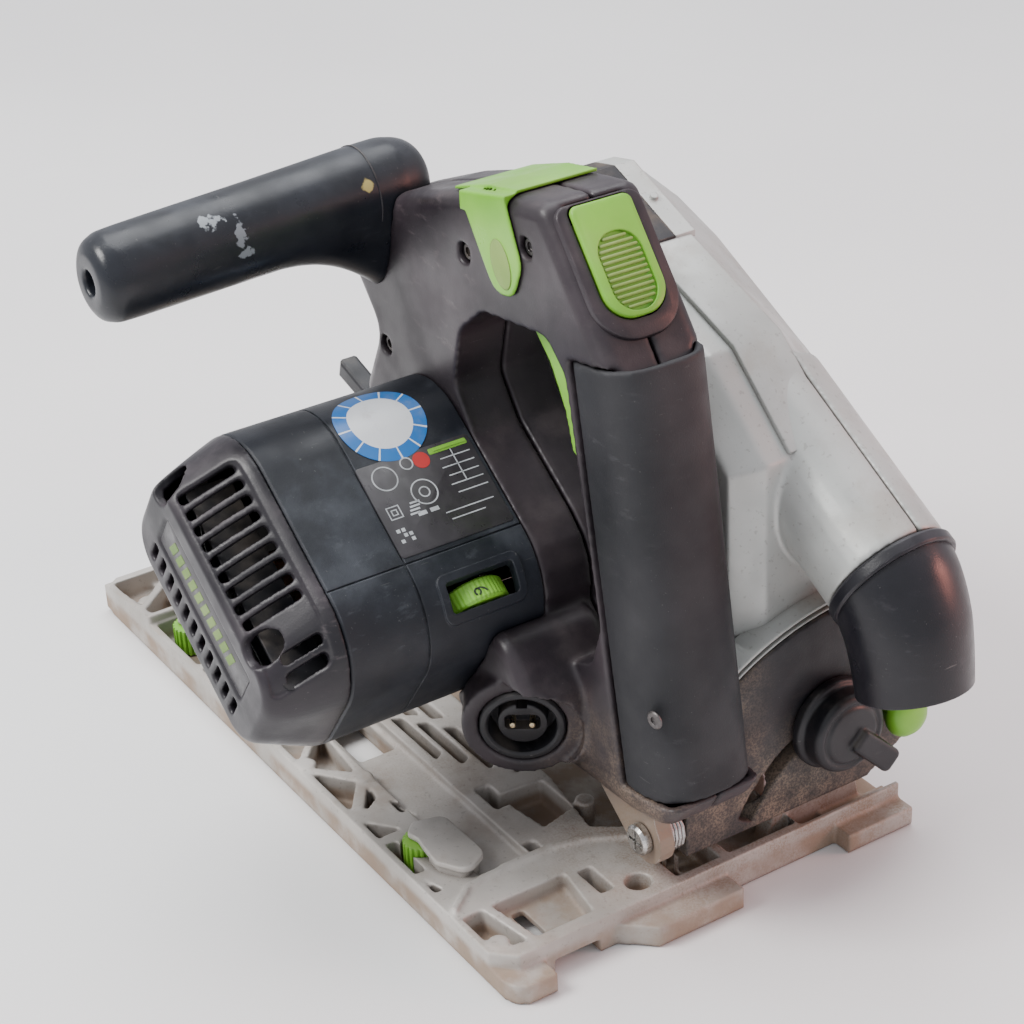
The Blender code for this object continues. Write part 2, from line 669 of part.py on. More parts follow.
def build_return_spring():
    turns, steps, around = 3.5, 14, 6
    total = int(turns * steps)
    rings = []
    for k in range(total + 1):
        a = 2 * pi * k / steps
        y = -14.6 + 5.4 * k / total
        centre = Vector((PIVOT_X + 8.0 * cos(a), y, PIVOT_Z + 8.0 * sin(a)))
        out = Vector((cos(a), 0, sin(a)))
        rings.append([centre + out * (0.75 * cos(2 * pi * j / around))
                      + Vector((0, 1, 0)) * (0.75 * sin(2 * pi * j / around))
                      for j in range(around)])
    return loft("return_spring", rings, "steel")


def build_dust_port():
    path = [((DUCT_B.x, DUCT_B.z), -30.0, 24.0), ((187.0, 123.0), -46.0, 23.6),
            ((192.3, 112.7), -62.0, 22.8), ((195.3, 101.3), -70.0, 21.9), ((197.2, 89.5), -74.0, 21.2)]

    def hoop(spot, lean, radius):
        along = Vector((cos(radians(lean)), 0, sin(radians(lean))))
        side = Vector((0, 1, 0))
        up = side.cross(along)
        centre = Vector((spot[0], DUCT_B.y, spot[1]))
        return [centre + side * (radius * cos(2 * pi * k / 32)) + up * (radius * sin(2 * pi * k / 32))
                for k in range(32)]

    skin = [hoop(*stop) for stop in path]
    bore = [hoop(spot, lean, radius - 2.6) for spot, lean, radius in reversed(path)]
    elbow = loft("dust_port", skin + bore, "black", closed=True)
    return pivot_at(elbow, DUCT_B)


def build_pivot_pin():
    profile = [(0, 0), (5.0, 0), (6.0, 1.0), (6.0, 3.5), (4.0, 3.5), (4.0, 27.0), (0, 27.0)]
    pin = lathe("plunge_pin", profile, (PIVOT_X, -26.0, PIVOT_Z), (0, 1, 0), "zinc", 24)
    for turn in (0, pi / 2):
        corners = [(-4, -0.6), (4, -0.6), (4, 0.6), (-4, 0.6)]
        placed = [(PIVOT_X + u * cos(turn) - v * sin(turn), PIVOT_Z + u * sin(turn) + v * cos(turn))
                  for u, v in corners]
        cut(pin, prism("cross", placed, -30, -24.6))
    return pin


def build_guard_body():
    build_guard_shells()
    build_segments()
    build_depth_stop()
    build_top_plate()
    build_return_spring()
    build_dust_port()
    build_pivot_pin()
    button = lathe("undercut_button", [(0, 0), (7.0, 0), (7.0, 6), (5.5, 8.0), (0, 8.5)],
                   BUTTON_AT, (1, 0, 0), "green", 24)
    pivot_at(button, BUTTON_AT)


# ---------------------------------------------------------------- plunging unit

END_Y = -137.0
CAP_Y = -109.0
SEAT_Y = SHELL_L - GAP


def end_label_outline(grow):
    low, high, left, right = -3.0 - grow, 13.0 + grow, -34.0 - grow, 34.0 + grow
    return [unit(left, low), unit(right, low), unit(right, high), unit(left, high)]


def build_end_cap():
    levels = [(CAP_Y, 0.0, 0.0, 30.0), (-113.0, -0.8, -1.5, 29.0), (-126.0, -4.0, -11.0, 24.0),
              (-134.5, -7.5, -18.5, 16.0), (END_Y, -10.5, -21.5, 12.0)]
    rings = []
    for y, da, dh, radius in levels:
        a, h = SECTION_A + da, SECTION_H + dh
        corners = rounded([(-a, -h, radius), (a, -h, radius), (a, h, radius), (-a, h, radius)], 5)
        rings.append(to_world([unit(u, v) for u, v in corners], y, "Y"))
    cap = loft("end_cap", rings, "shell")
    hollow = [to_world(inset([(p.x, p.z) for p in row], 3.2), row[0].y + 3.2 * (i == len(rings) - 1), "Y")
              for i, row in enumerate(rings)]
    hollow[0] = [p + Vector((0, 3, 0)) for p in hollow[0]]
    cut(cap, loft("hollow", hollow))
    # louvres through the sloping top
    for k in range(10):
        a = -33.0 + 7.6 * k
        slot = [unit(a - 1.9, 18), unit(a + 1.9, 18), unit(a + 1.9, 50), unit(a - 1.9, 50)]
        cut(cap, prism("louvre", slot, -133.5, -114.0))
    # row of vents along the front edge of the end face
    for k in range(11):
        a = -34.0 + 6.6 * k
        vent = [unit(a - 1.6, -16), unit(a + 1.6, -16), unit(a + 1.6, -8), unit(a - 1.6, -8)]
        cut(cap, prism("vent", vent, -140, -130))
    # shallow recess for the end label
    cut(cap, prism("recess", end_label_outline(GAP), END_Y - 1.0, END_Y + 1.0))
    prism("end_label", end_label_outline(0.0), END_Y + 0.15, END_Y + 1.0 - GAP, "Y", "plate")
    # seat for the rear bearing
    fuse(cap, ring("seat", 8.4, 11.5, 0, 26.0, (MOTOR_X, -135.0, MOTOR_Z), (0, 1, 0), steps=24))
    return cap


def build_motor_housing():
    housing = loft("motor_housing", [to_world(motor_section(), CAP_Y + GAP, "Y"),
                                     to_world(motor_section(), SEAT_Y - GAP, "Y")], "shell")
    cut(housing, prism("bore", motor_section(-3.5), CAP_Y - 10, SEAT_Y + 10))
    centre, axis = dial_frame()
    well = disc("well", DIAL_R + 0.8, -DIAL_W / 2 - 0.6, DIAL_W / 2 + 0.6, centre, axis, steps=28)
    cut(housing, well)
    cradle = ring("cradle", 36.6, 40.3, 0, 26, (MOTOR_X, -92.0, MOTOR_Z), (0, 1, 0), steps=32)
    fuse(housing, cradle)
    return housing


def arch_outline():
    return rounded([
        (-15, 118, 6), (-26, 150, 8), (-12, 178, 10), (-30, 200, 6), (-32, 218, 8),
        (-18, 228, 10), (16, 242, 30), (69, 259, 30), (92, 263, 20), (106, 265, 6),
        (145, 214, 10), (163, 150, 20), (178, 64, 10), (170, 50, 10), (150, 46, 8),
        (104, 44, 8), (70, 62, 10)], 3)


def finger_hole():
    return rounded([(44, 176, 6), (50, 200, 10), (66, 213, 10), (106, 218, 8), (117, 208, 8),
                    (134, 116, 8), (128, 98, 8), (112, 92, 6), (84, 118, 6)], 3)


def inlet_block():
    return rounded([(70, 62, 8), (100, 46, 10), (124, 52, 12), (124, 84, 12), (108, 104, 10),
                    (80, 110, 6)], 3)


def handle_section(grow):
    """Side outline of the handle with the motor section under it, as one block."""
    low, high = SHELL_L + grow, SHELL_R - grow
    edge = 5.0 - grow
    begin = SHELL_L if grow == 0 else SHELL_L - 5.0
    outline = inset(arch_outline(), grow)
    block = soft_prism("handle_block", outline, low, high, edge)
    cut(block, prism("hole", inset(finger_hole(), -grow), -60, 60))
    fuse(block, prism("section", motor_section(-grow), begin, high))
    bulge = soft_prism("inlet", inset(inlet_block(), grow), -52.0 + grow, -10.0, 4.0)
    cut(bulge, prism("motor", motor_section(GAP + grow), -80.0, SHELL_L - grow))
    fuse(block, bulge)
    return block


def gearbox_pill(grow):
    """Outline round the motor bearing, the layshaft and the arbor wheel."""
    hub = 18.5 + grow
    lay = 18.0 + grow
    nose = 16.0 + grow
    line = Vector((MOTOR_X - ARBOR_X, MOTOR_Z - ARBOR_Z)).normalized()
    turn = atan2(line.y, line.x) * 180 / pi
    return (arc(ARBOR, hub, turn + 95, turn + 255, 12)
            + arc(LAY, lay, turn - 105, turn - 70, 3)
            + arc(MOTOR, nose, turn - 62, turn + 85, 10))


INLET_AT = Vector((106.0, -44.0, 67.0))
INLET_AXIS = Vector((0.80, -0.58, -0.12)).normalized()
DIAL_A, DIAL_H, DIAL_Y = 40.5, 26.5, -52.5
DIAL_R, DIAL_W = 13.0, 8.4
TRIGGER_AT = (98.0, 219.0)
HANDLE_TOP = Vector((-13.0, -5.0, 235.0))
HANDLE_END = Vector((-1.0, -145.0, 233.0))
GRIP_TOP = Vector((131.0, -7.5, 216.0))
GRIP_LOW = Vector((157.0, -7.5, 58.0))
THUMB_A, THUMB_B = (106.5, 264.0), (134.5, 228.0)
SCREW_SPOTS = ((-7.0, 205.0), (-5.0, 174.0), (56.0, 232.0), (96.0, 247.0))


def grip_sleeve(name, outer, inner, length_grow=0.0, look=None, front_gap=0.0):
    """Open sleeve round the back of the grip."""
    along = (GRIP_LOW - GRIP_TOP).normalized()
    side = Vector((0, 1, 0))
    back = side.cross(along)

    def loop(centre, half_y, half_x):
        points = []
        for k in range(28):
            a = 2 * pi * k / 28
            c, s = cos(a), sin(a)
            points.append(centre + side * (half_y * abs(c) ** 0.7 * (1 if c > 0 else -1))
                          + back * (half_x * abs(s) ** 0.7 * (1 if s > 0 else -1)))
        return points

    top = GRIP_TOP - along * length_grow
    low = GRIP_LOW + along * length_grow
    shell = loft(name, [loop(top, 20.5 + outer, 19.5 + outer), loop(low, 20.5 + outer, 19.0 + outer)], look)
    cut(shell, loft("core", [loop(top - along * 5, 20.5 + inner, 19.5 + inner),
                             loop(low + along * 5, 20.5 + inner, 19.0 + inner)]))
    front = back * -1 if back.x > 0 else back
    middle = (top + low) / 2 + front * (30.0 - 4.0)
    frame = Matrix((
        (along.x, side.x, front.x, middle.x), (along.y, side.y, front.y, middle.y),
        (along.z, side.z, front.z, middle.z), (0, 0, 0, 1)))
    half = (low - top).length / 2 + 8
    slab = [frame @ Vector((u, v, -14.0 - front_gap)) for u, v in ((-half, -40), (half, -40), (half, 40), (-half, 40))]
    slab_top = [frame @ Vector((u, v, 30.0)) for u, v in ((-half, -40), (half, -40), (half, 40), (-half, 40))]
    cut(shell, loft("front", [slab, slab_top]))
    return shell


def handle_bar(name, grow, look=None):
    """Front handle: a bar along Y with a rounded end."""
    stops = [(0.0, 8.0), (0.03, 13.5), (0.08, 16.8), (0.13, 17.8), (0.93, 16.4), (0.985, 14.0),
             (1.0, 10.0)]
    rings = []
    for share, radius in stops:
        centre = HANDLE_TOP.lerp(HANDLE_END, share)
        radius += grow
        rings.append([centre + Vector((radius * cos(2 * pi * k / 28), 0, radius * sin(2 * pi * k / 28)))
                      for k in range(28)])
    return loft(name, rings, look)


def build_handle_shells():
    block = handle_section(0.0)
    cut(block, handle_section(WALL))
    cut(block, disc("bore", 39.0, -80, -20, (MOTOR_X, 0, MOTOR_Z), (0, 1, 0)))
    cut(block, prism("gearbox", gearbox_pill(0.4 + GAP), -9.5, 30))
    cut(block, handle_bar("bar", 0.4))
    cut(block, grip_sleeve("sleeve", 12.0, -3.2, 0.4))
    # seats of the trigger, the thumb switch, the inlet and the dial
    cut(block, box("seat", (80, -20.6, 200), (116, 6.6, 227)))
    along = Vector((THUMB_B[0] - THUMB_A[0], THUMB_B[1] - THUMB_A[1])).normalized()
    out = Vector((-along.y, along.x))
    a, b = Vector(THUMB_A) + along * 1, Vector(THUMB_B) - along * 1
    well = [a - out * 9, b - out * 9, b + out * 9, a + out * 9]
    cut(block, prism("well", [(p.x, p.y) for p in well], -20.4, 5.4))
    # round boss with a flat face for the inlet
    cut(block, disc("face", 22.5, 1.2, 30, INLET_AT, INLET_AXIS, steps=40))
    boss = disc("boss", 22.5, -16, 1.2, INLET_AT, INLET_AXIS, steps=40)
    cut(boss, prism("motor", motor_section(GAP), -90.0, SHELL_L))
    fuse(block, boss)
    cut(block, disc("socket", 16.4, -18, 20, INLET_AT, INLET_AXIS, steps=32))
    for x, z in SCREW_SPOTS:
        cut(block, disc("screw", 4.0, SHELL_L - 3, SHELL_L + 4, (x, 0, z), (0, 1, 0), steps=16))
    right = copy_of(block, "handle_right")
    block.name = "handle_left"
    keep(block, box("half", (-200, -200, -50), (300, PART_Y - GAP / 2, 400)))
    keep(right, box("half", (-200, PART_Y + GAP / 2, -50), (300, 200, 400)))
    paint(block, "shell_brown")
    paint(right, "shell_brown")


def build_handle_trim():
    bar = handle_bar("front_handle", 0.0, "shell")
    cut(bar, disc("recess", 4.5, -14, 4, HANDLE_END, (0, -1, 0), steps=20))
    grip_sleeve("grip_pad", 0.0, -3.2 + GAP, 0.0, "soft", GAP)
    for k, (x, z) in enumerate(SCREW_SPOTS):
        disc("arch_screw_%d" % (k + 1), 3.6, SHELL_L + 1.0, SHELL_L + 4 - GAP, (x, 0, z), (0, 1, 0),
             "steel", 16)


def build_thumb_switch():
    along = Vector((THUMB_B[0] - THUMB_A[0], THUMB_B[1] - THUMB_A[1])).normalized()
    out = Vector((-along.y, along.x))
    length = (Vector(THUMB_B) - Vector(THUMB_A)).length
    ribs = 14
    rib_start, pitch = 14.0, 2.4
    profile = [(6.5, -7.0), (length - 3.0, -7.0), (length - 3.0, 1.5)]
    for k in reversed(range(ribs - 2)):
        s = rib_start + pitch * k
        profile += [(s + 1.8, 1.2), (s + 1.4, 2.4), (s + 0.6, 2.4), (s + 0.2, 1.2)]
    profile += [(10.0, 1.0), (6.5, 3.2)]
    outline = [(THUMB_A[0] + along.x * s + out.x * h, THUMB_A[1] + along.y * s + out.y * h)
               for s, h in profile]
    switch = prism("thumb_switch", outline, -19.6, 4.6, "Y", "green")
    pivot_at(switch, ((THUMB_A[0] + THUMB_B[0]) / 2, -7.5, (THUMB_A[1] + THUMB_B[1]) / 2))
    return switch


def build_trigger():
    outline = rounded([(87, 217, 2), (87.5, 211, 4), (96.5, 202, 10), (105, 187, 10), (109, 172, 2),
                       (114, 172, 2), (114, 190, 10), (109, 216, 4), (104, 224, 3), (92, 223, 3)], 2)
    trigger = prism("trigger", outline, -20.0, 6.0, "Y", "green")
    return pivot_at(trigger, (TRIGGER_AT[0], -7.0, TRIGGER_AT[1]))


def build_green_trim():
    """Trim strip over the top of the arch with a tongue down its motor side."""
    top = [(46, 251.5), (58, 255.4), (69, 259.0), (86, 262.0)]
    outline = [(x, z - 2.0) for x, z in top] + [(x, z + 1.6) for x, z in reversed(top)]
    strip = prism("trim_strip", outline, SHELL_L + 4, SHELL_R - 4, "Y", "green")
    tongue = rounded([(57, 255, 2), (86, 261, 2), (95, 240, 8), (89, 226, 8), (77, 225, 8),
                      (70, 235, 8)], 3)
    fuse(strip, prism("tongue", tongue, SHELL_L - 1.4, SHELL_L - 0.3))
    fuse(strip, prism("corner", [(57, 249), (86, 254), (86, 262.8), (57, 256.2)], SHELL_L - 1.4, SHELL_L + 8))
    cut(strip, soft_prism("body", inset(arch_outline(), -0.35), SHELL_L - 0.35, SHELL_R + 0.35, 5.0))
    return strip


def build_inlet():
    frame = INLET_AXIS
    profile = [(0, -14), (16, -14), (16, 0.5), (12.5, 0.5), (12.5, -9), (0, -9)]
    body = lathe("appliance_inlet", profile, INLET_AT, frame, "black", 32)
    tongue = disc("core", 8.0, -10, -1.0, INLET_AT, frame, steps=24)
    fuse(body, tongue)
    side = Vector((0, 0, 1)).cross(frame).normalized()
    for way in (-1, 1):
        spot = INLET_AT + side * (4.0 * way)
        fuse(body, disc("pin", 1.3, -2.0, 1.6, spot, frame, steps=12))
    return body


def dial_frame():
    """Centre of the speed dial and its axis, along the tilted motor section."""
    spot = unit(DIAL_A, DIAL_H)
    return Vector((spot[0], DIAL_Y, spot[1])), Vector((cos(TILT), 0, -sin(TILT)))


def build_dial():
    centre, axis = dial_frame()
    frame = basis(centre, axis)
    rim = []
    flutes = 20
    for k in range(flutes):
        a = 360.0 / flutes * k
        rim += arc((0, 0), DIAL_R, a, a + 9, 1)
        rim += arc((0, 0), DIAL_R - 0.7, a + 11, a + 16, 1)
    rings = [[frame @ Vector((u, v, h)) for u, v in rim] for h in (-DIAL_W / 2, DIAL_W / 2)]
    return pivot_at(loft("speed_dial", rings, "green"), centre)


def build_gearbox():
    body = prism("gearbox_housing", gearbox_pill(0.4), -6.2, 19.0, "Y", "cast")
    neck = disc("neck", NECK_R, 18, 58.0, (ARBOR_X, 0, ARBOR_Z), (0, 1, 0))
    fuse(body, neck)
    cut(body, prism("chamber", inset(gearbox_pill(0.4), 2.6), -10, 10.0))
    cut(body, disc("bore", 6.8, -10, 80, (ARBOR_X, 0, ARBOR_Z), (0, 1, 0), steps=24))
    for low, high in ((9.0, 16.8), (50.0, 60.0)):
        cut(body, disc("seat", 13.2, low, high, (ARBOR_X, 0, ARBOR_Z), (0, 1, 0), steps=28))
    cut(body, disc("lay_seat", 4.2, 5, 15.0, (LAY[0], 0, LAY[1]), (0, 1, 0), steps=20))
    cut(body, disc("nose_seat", 6.4, 5, 15.0, (MOTOR_X, 0, MOTOR_Z), (0, 1, 0), steps=20))
    return body


def build_pivot_ear():
    """Ear of the plunging unit on the plunge pin, bolted under the handle shell."""
    outline = [(120, 44.1)] + arc(PIVOT, 10.5, -140, 40, 10) + [(156, 45.4)]
    ear = prism("pivot_ear", outline, -22.0, -15.8, "Y", "cast")
    cut(ear, disc("bore", 4.4, -40, 0, (PIVOT_X, 0, PIVOT_Z), (0, 1, 0), steps=24))
    return ear


def gear(name, teeth, low, high, centre, bore, look="steel"):
    pitch = teeth * MODULE / 2
    tip = pitch - 0.25
    root = pitch - 0.25 - TOOTH * 1.6
    outline = []
    step = 360.0 / teeth
    for k in range(teeth):
        a = step * k
        outline += arc(centre, root, a - step * 0.22, a + step * 0.22, 1)
        outline += arc(centre, tip, a + step * 0.38, a + step * 0.62, 1)
    wheel = prism(name, outline, low, high, "Y", look)
    if bore:
        cut(wheel, disc("bore", bore, low - 5, high + 5, (centre[0], 0, centre[1]), (0, 1, 0), steps=24))
    return wheel


def build_drive():
    motor = (MOTOR_X, 0, MOTOR_Z)
    y_axis = (0, 1, 0)
    arbor = (ARBOR_X, 0, ARBOR_Z)
    lay = (LAY[0], 0, LAY[1])
    shaft = disc("motor_shaft", 4.0, -132.0, -3.0, motor, y_axis, "steel", 24)
    fuse(shaft, gear("pinion", PINION_T, -3.4, 4.0, MOTOR, None))
    fuse(shaft, disc("spigot", 3.0, 3, 9.0, motor, y_axis, steps=20))
    ring("armature", 4.0 + GAP, 21.0, -92.0, -48.0, motor, y_axis, "iron")
    ring("commutator", 4.0 + GAP, 13.0, -108.0, -94.0, motor, y_axis, "copper")
    ring("stator", 22.0, 36.2, -90.0, -50.0, motor, y_axis, "iron")
    hub = ring("fan", 4.0 + GAP, 9.0, -44.0, -34.0, motor, y_axis, "black", 24)
    fuse(hub, ring("plate", 8.0, 33.0, -36.0, -34.0, motor, y_axis))
    for k in range(10):
        a = 2 * pi * k / 10
        blade = [(8.5, -1), (32, -1), (32, 1), (8.5, 1)]
        placed = [(MOTOR_X + u * cos(a) - v * sin(a), MOTOR_Z + u * sin(a) + v * cos(a)) for u, v in blade]
        fuse(hub, prism("vane", placed, -43.0, -35.0))
    ring("rear_bearing", 4.0 + GAP, 8.4 - GAP, -131.0, -125.0, motor, y_axis, "steel", 24)
    cover = prism("gearbox_cover", gearbox_pill(0.4), -9.4, -6.2 - GAP, "Y", "cast")
    fuse(cover, disc("boss", 14.0, -19.0, -9.0, motor, y_axis))
    cut(cover, disc("seat", 11.2, -25.0, -11.0, motor, y_axis))
    cut(cover, disc("bore", 6.9, -25.0, 0.0, motor, y_axis))
    ring("front_bearing", 4.0 + GAP, 11.2 - GAP, -18.0, -11.0 - GAP, motor, y_axis, "steel", 28)
    for k, way in enumerate((-1, 1)):
        spot = [unit(way * 13.4, -3), unit(way * 26, -3), unit(way * 26, 3), unit(way * 13.4, 3)]
        prism("brush_%d" % (k + 1), spot, -106.0, -97.0, "Y", "carbon")
    wheel = gear("layshaft_gear", LAY_WHEEL_T, -2.5, 3.0, LAY, None)
    fuse(wheel, gear("small", LAY_PINION_T, 2.6, 9.0, LAY, None))
    fuse(wheel, disc("spigot", 3.8, 8.5, 14.4, lay, y_axis, steps=20))
    gear("arbor_gear", ARBOR_T, 4.0, 8.6, ARBOR, 6.0 + GAP)
    shaft = disc("arbor_shaft", 6.0, 0.0, 75.0, arbor, y_axis, "steel", 28)
    cut(shaft, disc("thread", 3.2, 68.0, 80.0, arbor, y_axis, steps=20))
    ring("arbor_bearing_inner", 6.0 + GAP, 13.2 - GAP, 9.4, 16.4, arbor, y_axis, "steel")
    ring("arbor_bearing_outer", 6.0 + GAP, 13.2 - GAP, 50.4, 57.4, arbor, y_axis, "steel")
    low, high = BLADE_Y - 1.0, BLADE_Y + 1.0
    flange = lathe("inner_flange", [(6.3, 60.0), (12, 60.0), (20, 65.0), (20, low - GAP), (9.7, low - GAP),
                                    (9.7, high - 0.2), (6.3, high - 0.2)], arbor, y_axis, "steel", 32)
    lathe("outer_flange", [(6.3, high + GAP), (20, high + GAP), (20, high + 3.0), (12, high + 4.0),
                           (6.3, high + 4.0)], arbor, y_axis, "steel", 32)
    bolt = lathe("arbor_bolt", [(0, 69.0), (2.9, 69.0), (2.9, 76.4), (8.5, 76.4), (8.5, 80.0), (7.5, 81.5),
                                (0, 81.5)], arbor, y_axis, "zinc", 24)
    cut(bolt, prism("hex", circle(ARBOR, 3.2, 6), 78.0, 90.0))
    blade_outline = []
    teeth = 48
    for k in range(teeth):
        a = 360.0 / teeth * k
        blade_outline += arc(ARBOR, BLADE_R - 4.2, a, a + 2.4, 1)
        blade_outline += arc(ARBOR, BLADE_R, a + 5.0, a + 6.4, 1)
    blade = prism("saw_blade", blade_outline, low, high, "Y", "steel")
    cut(blade, disc("bore", 10.0, 0, 100, arbor, y_axis))
    return blade


def build_riving_knife():
    """Knife behind the blade, cranked round the blade to a clamp on the arbor neck."""
    start, stop = -49.0, -14.0
    knife = prism("riving_knife", sector(ARBOR, BLADE_R + 4.0, 99.0, start, stop, 8),
                  BLADE_Y - 0.9, BLADE_Y + 0.9, "Y", "steel")
    fuse(knife, prism("bridge", sector(ARBOR, 88.0, 98.5, -27.0, -15.0, 3), 45.0, BLADE_Y))
    fuse(knife, prism("arm", sector(ARBOR, NECK_R + 2.0, 97.0, -26.0, -16.0, 3), 44.0, 47.5))
    clamp = ring("clamp", NECK_R + GAP, NECK_R + 4.0, 42.0, 49.0, (ARBOR_X, 0, ARBOR_Z), (0, 1, 0))
    fuse(knife, clamp)
    return knife


def foil(name, outline_solid, lift, thick, low, high, look):
    """Thin label that follows the motor section, trimmed to the given solid."""
    band = prism(name, motor_section(lift + thick), low, high, "Y", look)
    cut(band, prism("inside", motor_section(lift), low - 5, high + 5))
    return keep(band, outline_solid)


def build_labels():
    spot = unit(-31.0, 0.0)
    up = (sin(TILT), 0, cos(TILT))
    foil("sticker", disc("round", 17.5, 20.0, 70.0, (spot[0], -58.0, spot[1]), up, steps=36),
         0.1, 0.3, -80.0, -38.0, "label")


def build_board():
    corners = [unit(-24, 37.2), unit(20, 37.2), unit(20, 39.0), unit(-24, 39.0)]
    return prism("speed_board", corners, -64.5, -40.0, "Y", "board")


def build_switch():
    corners = rounded([(74, 230, 2), (94, 231, 2), (93, 251, 2), (72, 249, 2)], 2)
    return prism("power_switch", corners, -18.0, 4.0, "Y", "black")


def build_unit():
    build_end_cap()
    build_motor_housing()
    build_handle_shells()
    build_handle_trim()
    build_thumb_switch()
    build_trigger()
    build_green_trim()
    build_inlet()
    build_dial()
    build_gearbox()
    build_pivot_ear()
    build_drive()
    build_riving_knife()
    build_labels()
    build_board()
    build_switch()


clear_objects()
build_base_body()
build_guard_body()
build_unit()
for piece in bpy.data.objects:
    tidy_mesh(piece)
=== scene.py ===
"""Looks of the track plunge saw: finer pieces, procedural finishes, floor, lights and camera."""

from math import cos, pi, radians, sin

import bmesh
import bpy
from mathutils import Matrix, Vector


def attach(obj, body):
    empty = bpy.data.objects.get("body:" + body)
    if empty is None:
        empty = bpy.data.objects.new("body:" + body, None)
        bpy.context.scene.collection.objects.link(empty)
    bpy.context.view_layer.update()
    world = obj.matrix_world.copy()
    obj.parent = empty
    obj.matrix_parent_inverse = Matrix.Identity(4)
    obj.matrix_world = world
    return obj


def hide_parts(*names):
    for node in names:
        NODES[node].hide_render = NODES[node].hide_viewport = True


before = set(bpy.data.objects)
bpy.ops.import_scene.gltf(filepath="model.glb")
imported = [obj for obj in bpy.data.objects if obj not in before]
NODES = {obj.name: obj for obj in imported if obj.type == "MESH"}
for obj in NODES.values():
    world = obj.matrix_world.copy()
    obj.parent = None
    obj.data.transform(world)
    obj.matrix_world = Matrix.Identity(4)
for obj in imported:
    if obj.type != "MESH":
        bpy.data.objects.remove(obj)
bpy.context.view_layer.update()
MM = 0.001
SHARP = radians(35.0)

# Driving sizes in millimetres, as the solids have them
TILT = radians(36.0)
MOTOR = Vector((41.5, 0.0, 116.6))
SECTION_A, SECTION_H, SECTION_R = 56.0, 43.0, 30.0
CAP_Y, END_Y, SHELL_L = -109.0, -137.0, -28.0
HANDLE_TOP, HANDLE_END = Vector((-13.0, -5.0, 235.0)), Vector((-1.0, -145.0, 233.0))
GRIP_TOP, GRIP_LOW = Vector((131.0, -7.5, 216.0)), Vector((157.0, -7.5, 58.0))
THUMB_A, THUMB_B = Vector((106.5, -7.5, 264.0)), Vector((134.5, -7.5, 228.0))
DUCT_A, DUCT_B = Vector((110.0, 62.5, 170.0)), Vector((181.0, 62.5, 129.0))
INLET_AT = Vector((106.0, -44.0, 67.0))
INLET_AXIS = Vector((0.80, -0.58, -0.12)).normalized()
KNOB_Y, KNOB_Z = 58.0, 56.0
REAR_KNOB_X, FRONT_KNOB_X = 157.35, -117.35
BUTTON_AT = Vector((157.35, 88.0, 51.0))
GRIP_SCREW_AT = Vector((166.0, -27.6, 95.0))
TONGUE_AT = Vector((82.5, -29.4, 237.0))
DIAL_AT = (40.5, 26.5, -52.5)
SCREW_SPOTS = ((-7.0, 205.0), (-5.0, 174.0), (56.0, 232.0), (96.0, 247.0))
CAM_SPOTS = ((-108.0, -78.0), (84.0, -77.0))

A_AXIS = Vector((cos(TILT), 0.0, -sin(TILT)))
H_AXIS = Vector((sin(TILT), 0.0, cos(TILT)))
Y_AXIS = Vector((0.0, 1.0, 0.0))
Z_AXIS = Vector((0.0, 0.0, 1.0))


def unit(a, h, y=0.0):
    """Point given along and across the tilted motor section."""
    return MOTOR + A_AXIS * a + H_AXIS * h + Y_AXIS * y


# ---------------------------------------------------------------- mesh helpers

def from_bmesh(name, bm, look=None):
    """Object in metres from a mesh drawn in millimetres."""
    bmesh.ops.recalc_face_normals(bm, faces=bm.faces)
    bmesh.ops.scale(bm, vec=(MM, MM, MM), verts=bm.verts)
    mesh = bpy.data.meshes.new(name)
    bm.to_mesh(mesh)
    bm.free()
    obj = bpy.data.objects.new(name, mesh)
    bpy.context.scene.collection.objects.link(obj)
    mesh.polygons.foreach_set("use_smooth", [True] * len(mesh.polygons))
    mesh.set_sharp_from_angle(angle=SHARP)
    if look:
        mesh.materials.append(look)
    return obj


def loft(name, rings, look=None, closed=False):
    """Skin through rings of equal point counts; the ends are capped unless closed."""
    bm = bmesh.new()
    rows = [[bm.verts.new(p) for p in ring] for ring in rings]
    count = len(rows[0])
    pairs = list(zip(rows, rows[1:])) + ([(rows[-1], rows[0])] if closed else [])
    for low, high in pairs:
        for i in range(count):
            j = (i + 1) % count
            bm.faces.new((low[i], low[j], high[j], high[i]))
    if not closed:
        bm.faces.new(rows[0])
        bm.faces.new(rows[-1])
    return from_bmesh(name, bm, look)


def rounded(corners, steps=6):
    """Corners are (u, v, radius); each becomes an arc tangent to both edges."""
    points = []
    for i, (u, v, radius) in enumerate(corners):
        here = Vector((u, v))
        before = (Vector(corners[i - 1][:2]) - here).normalized()
        after = (Vector(corners[(i + 1) % len(corners)][:2]) - here).normalized()
        if radius <= 0:
            points.append((u, v))
            continue
        half = before.angle(after) / 2
        centre = here + (before + after).normalized() * (radius / sin(half))
        reach = radius / (sin(half) / cos(half))
        start = here + before * reach - centre
        turn = start.angle_signed(here + after * reach - centre)
        for k in range(steps + 1):
            arm = start.copy()
            arm.rotate(Matrix.Rotation(-turn * k / steps, 2))
            points.append((centre.x + arm.x, centre.y + arm.y))
    return points


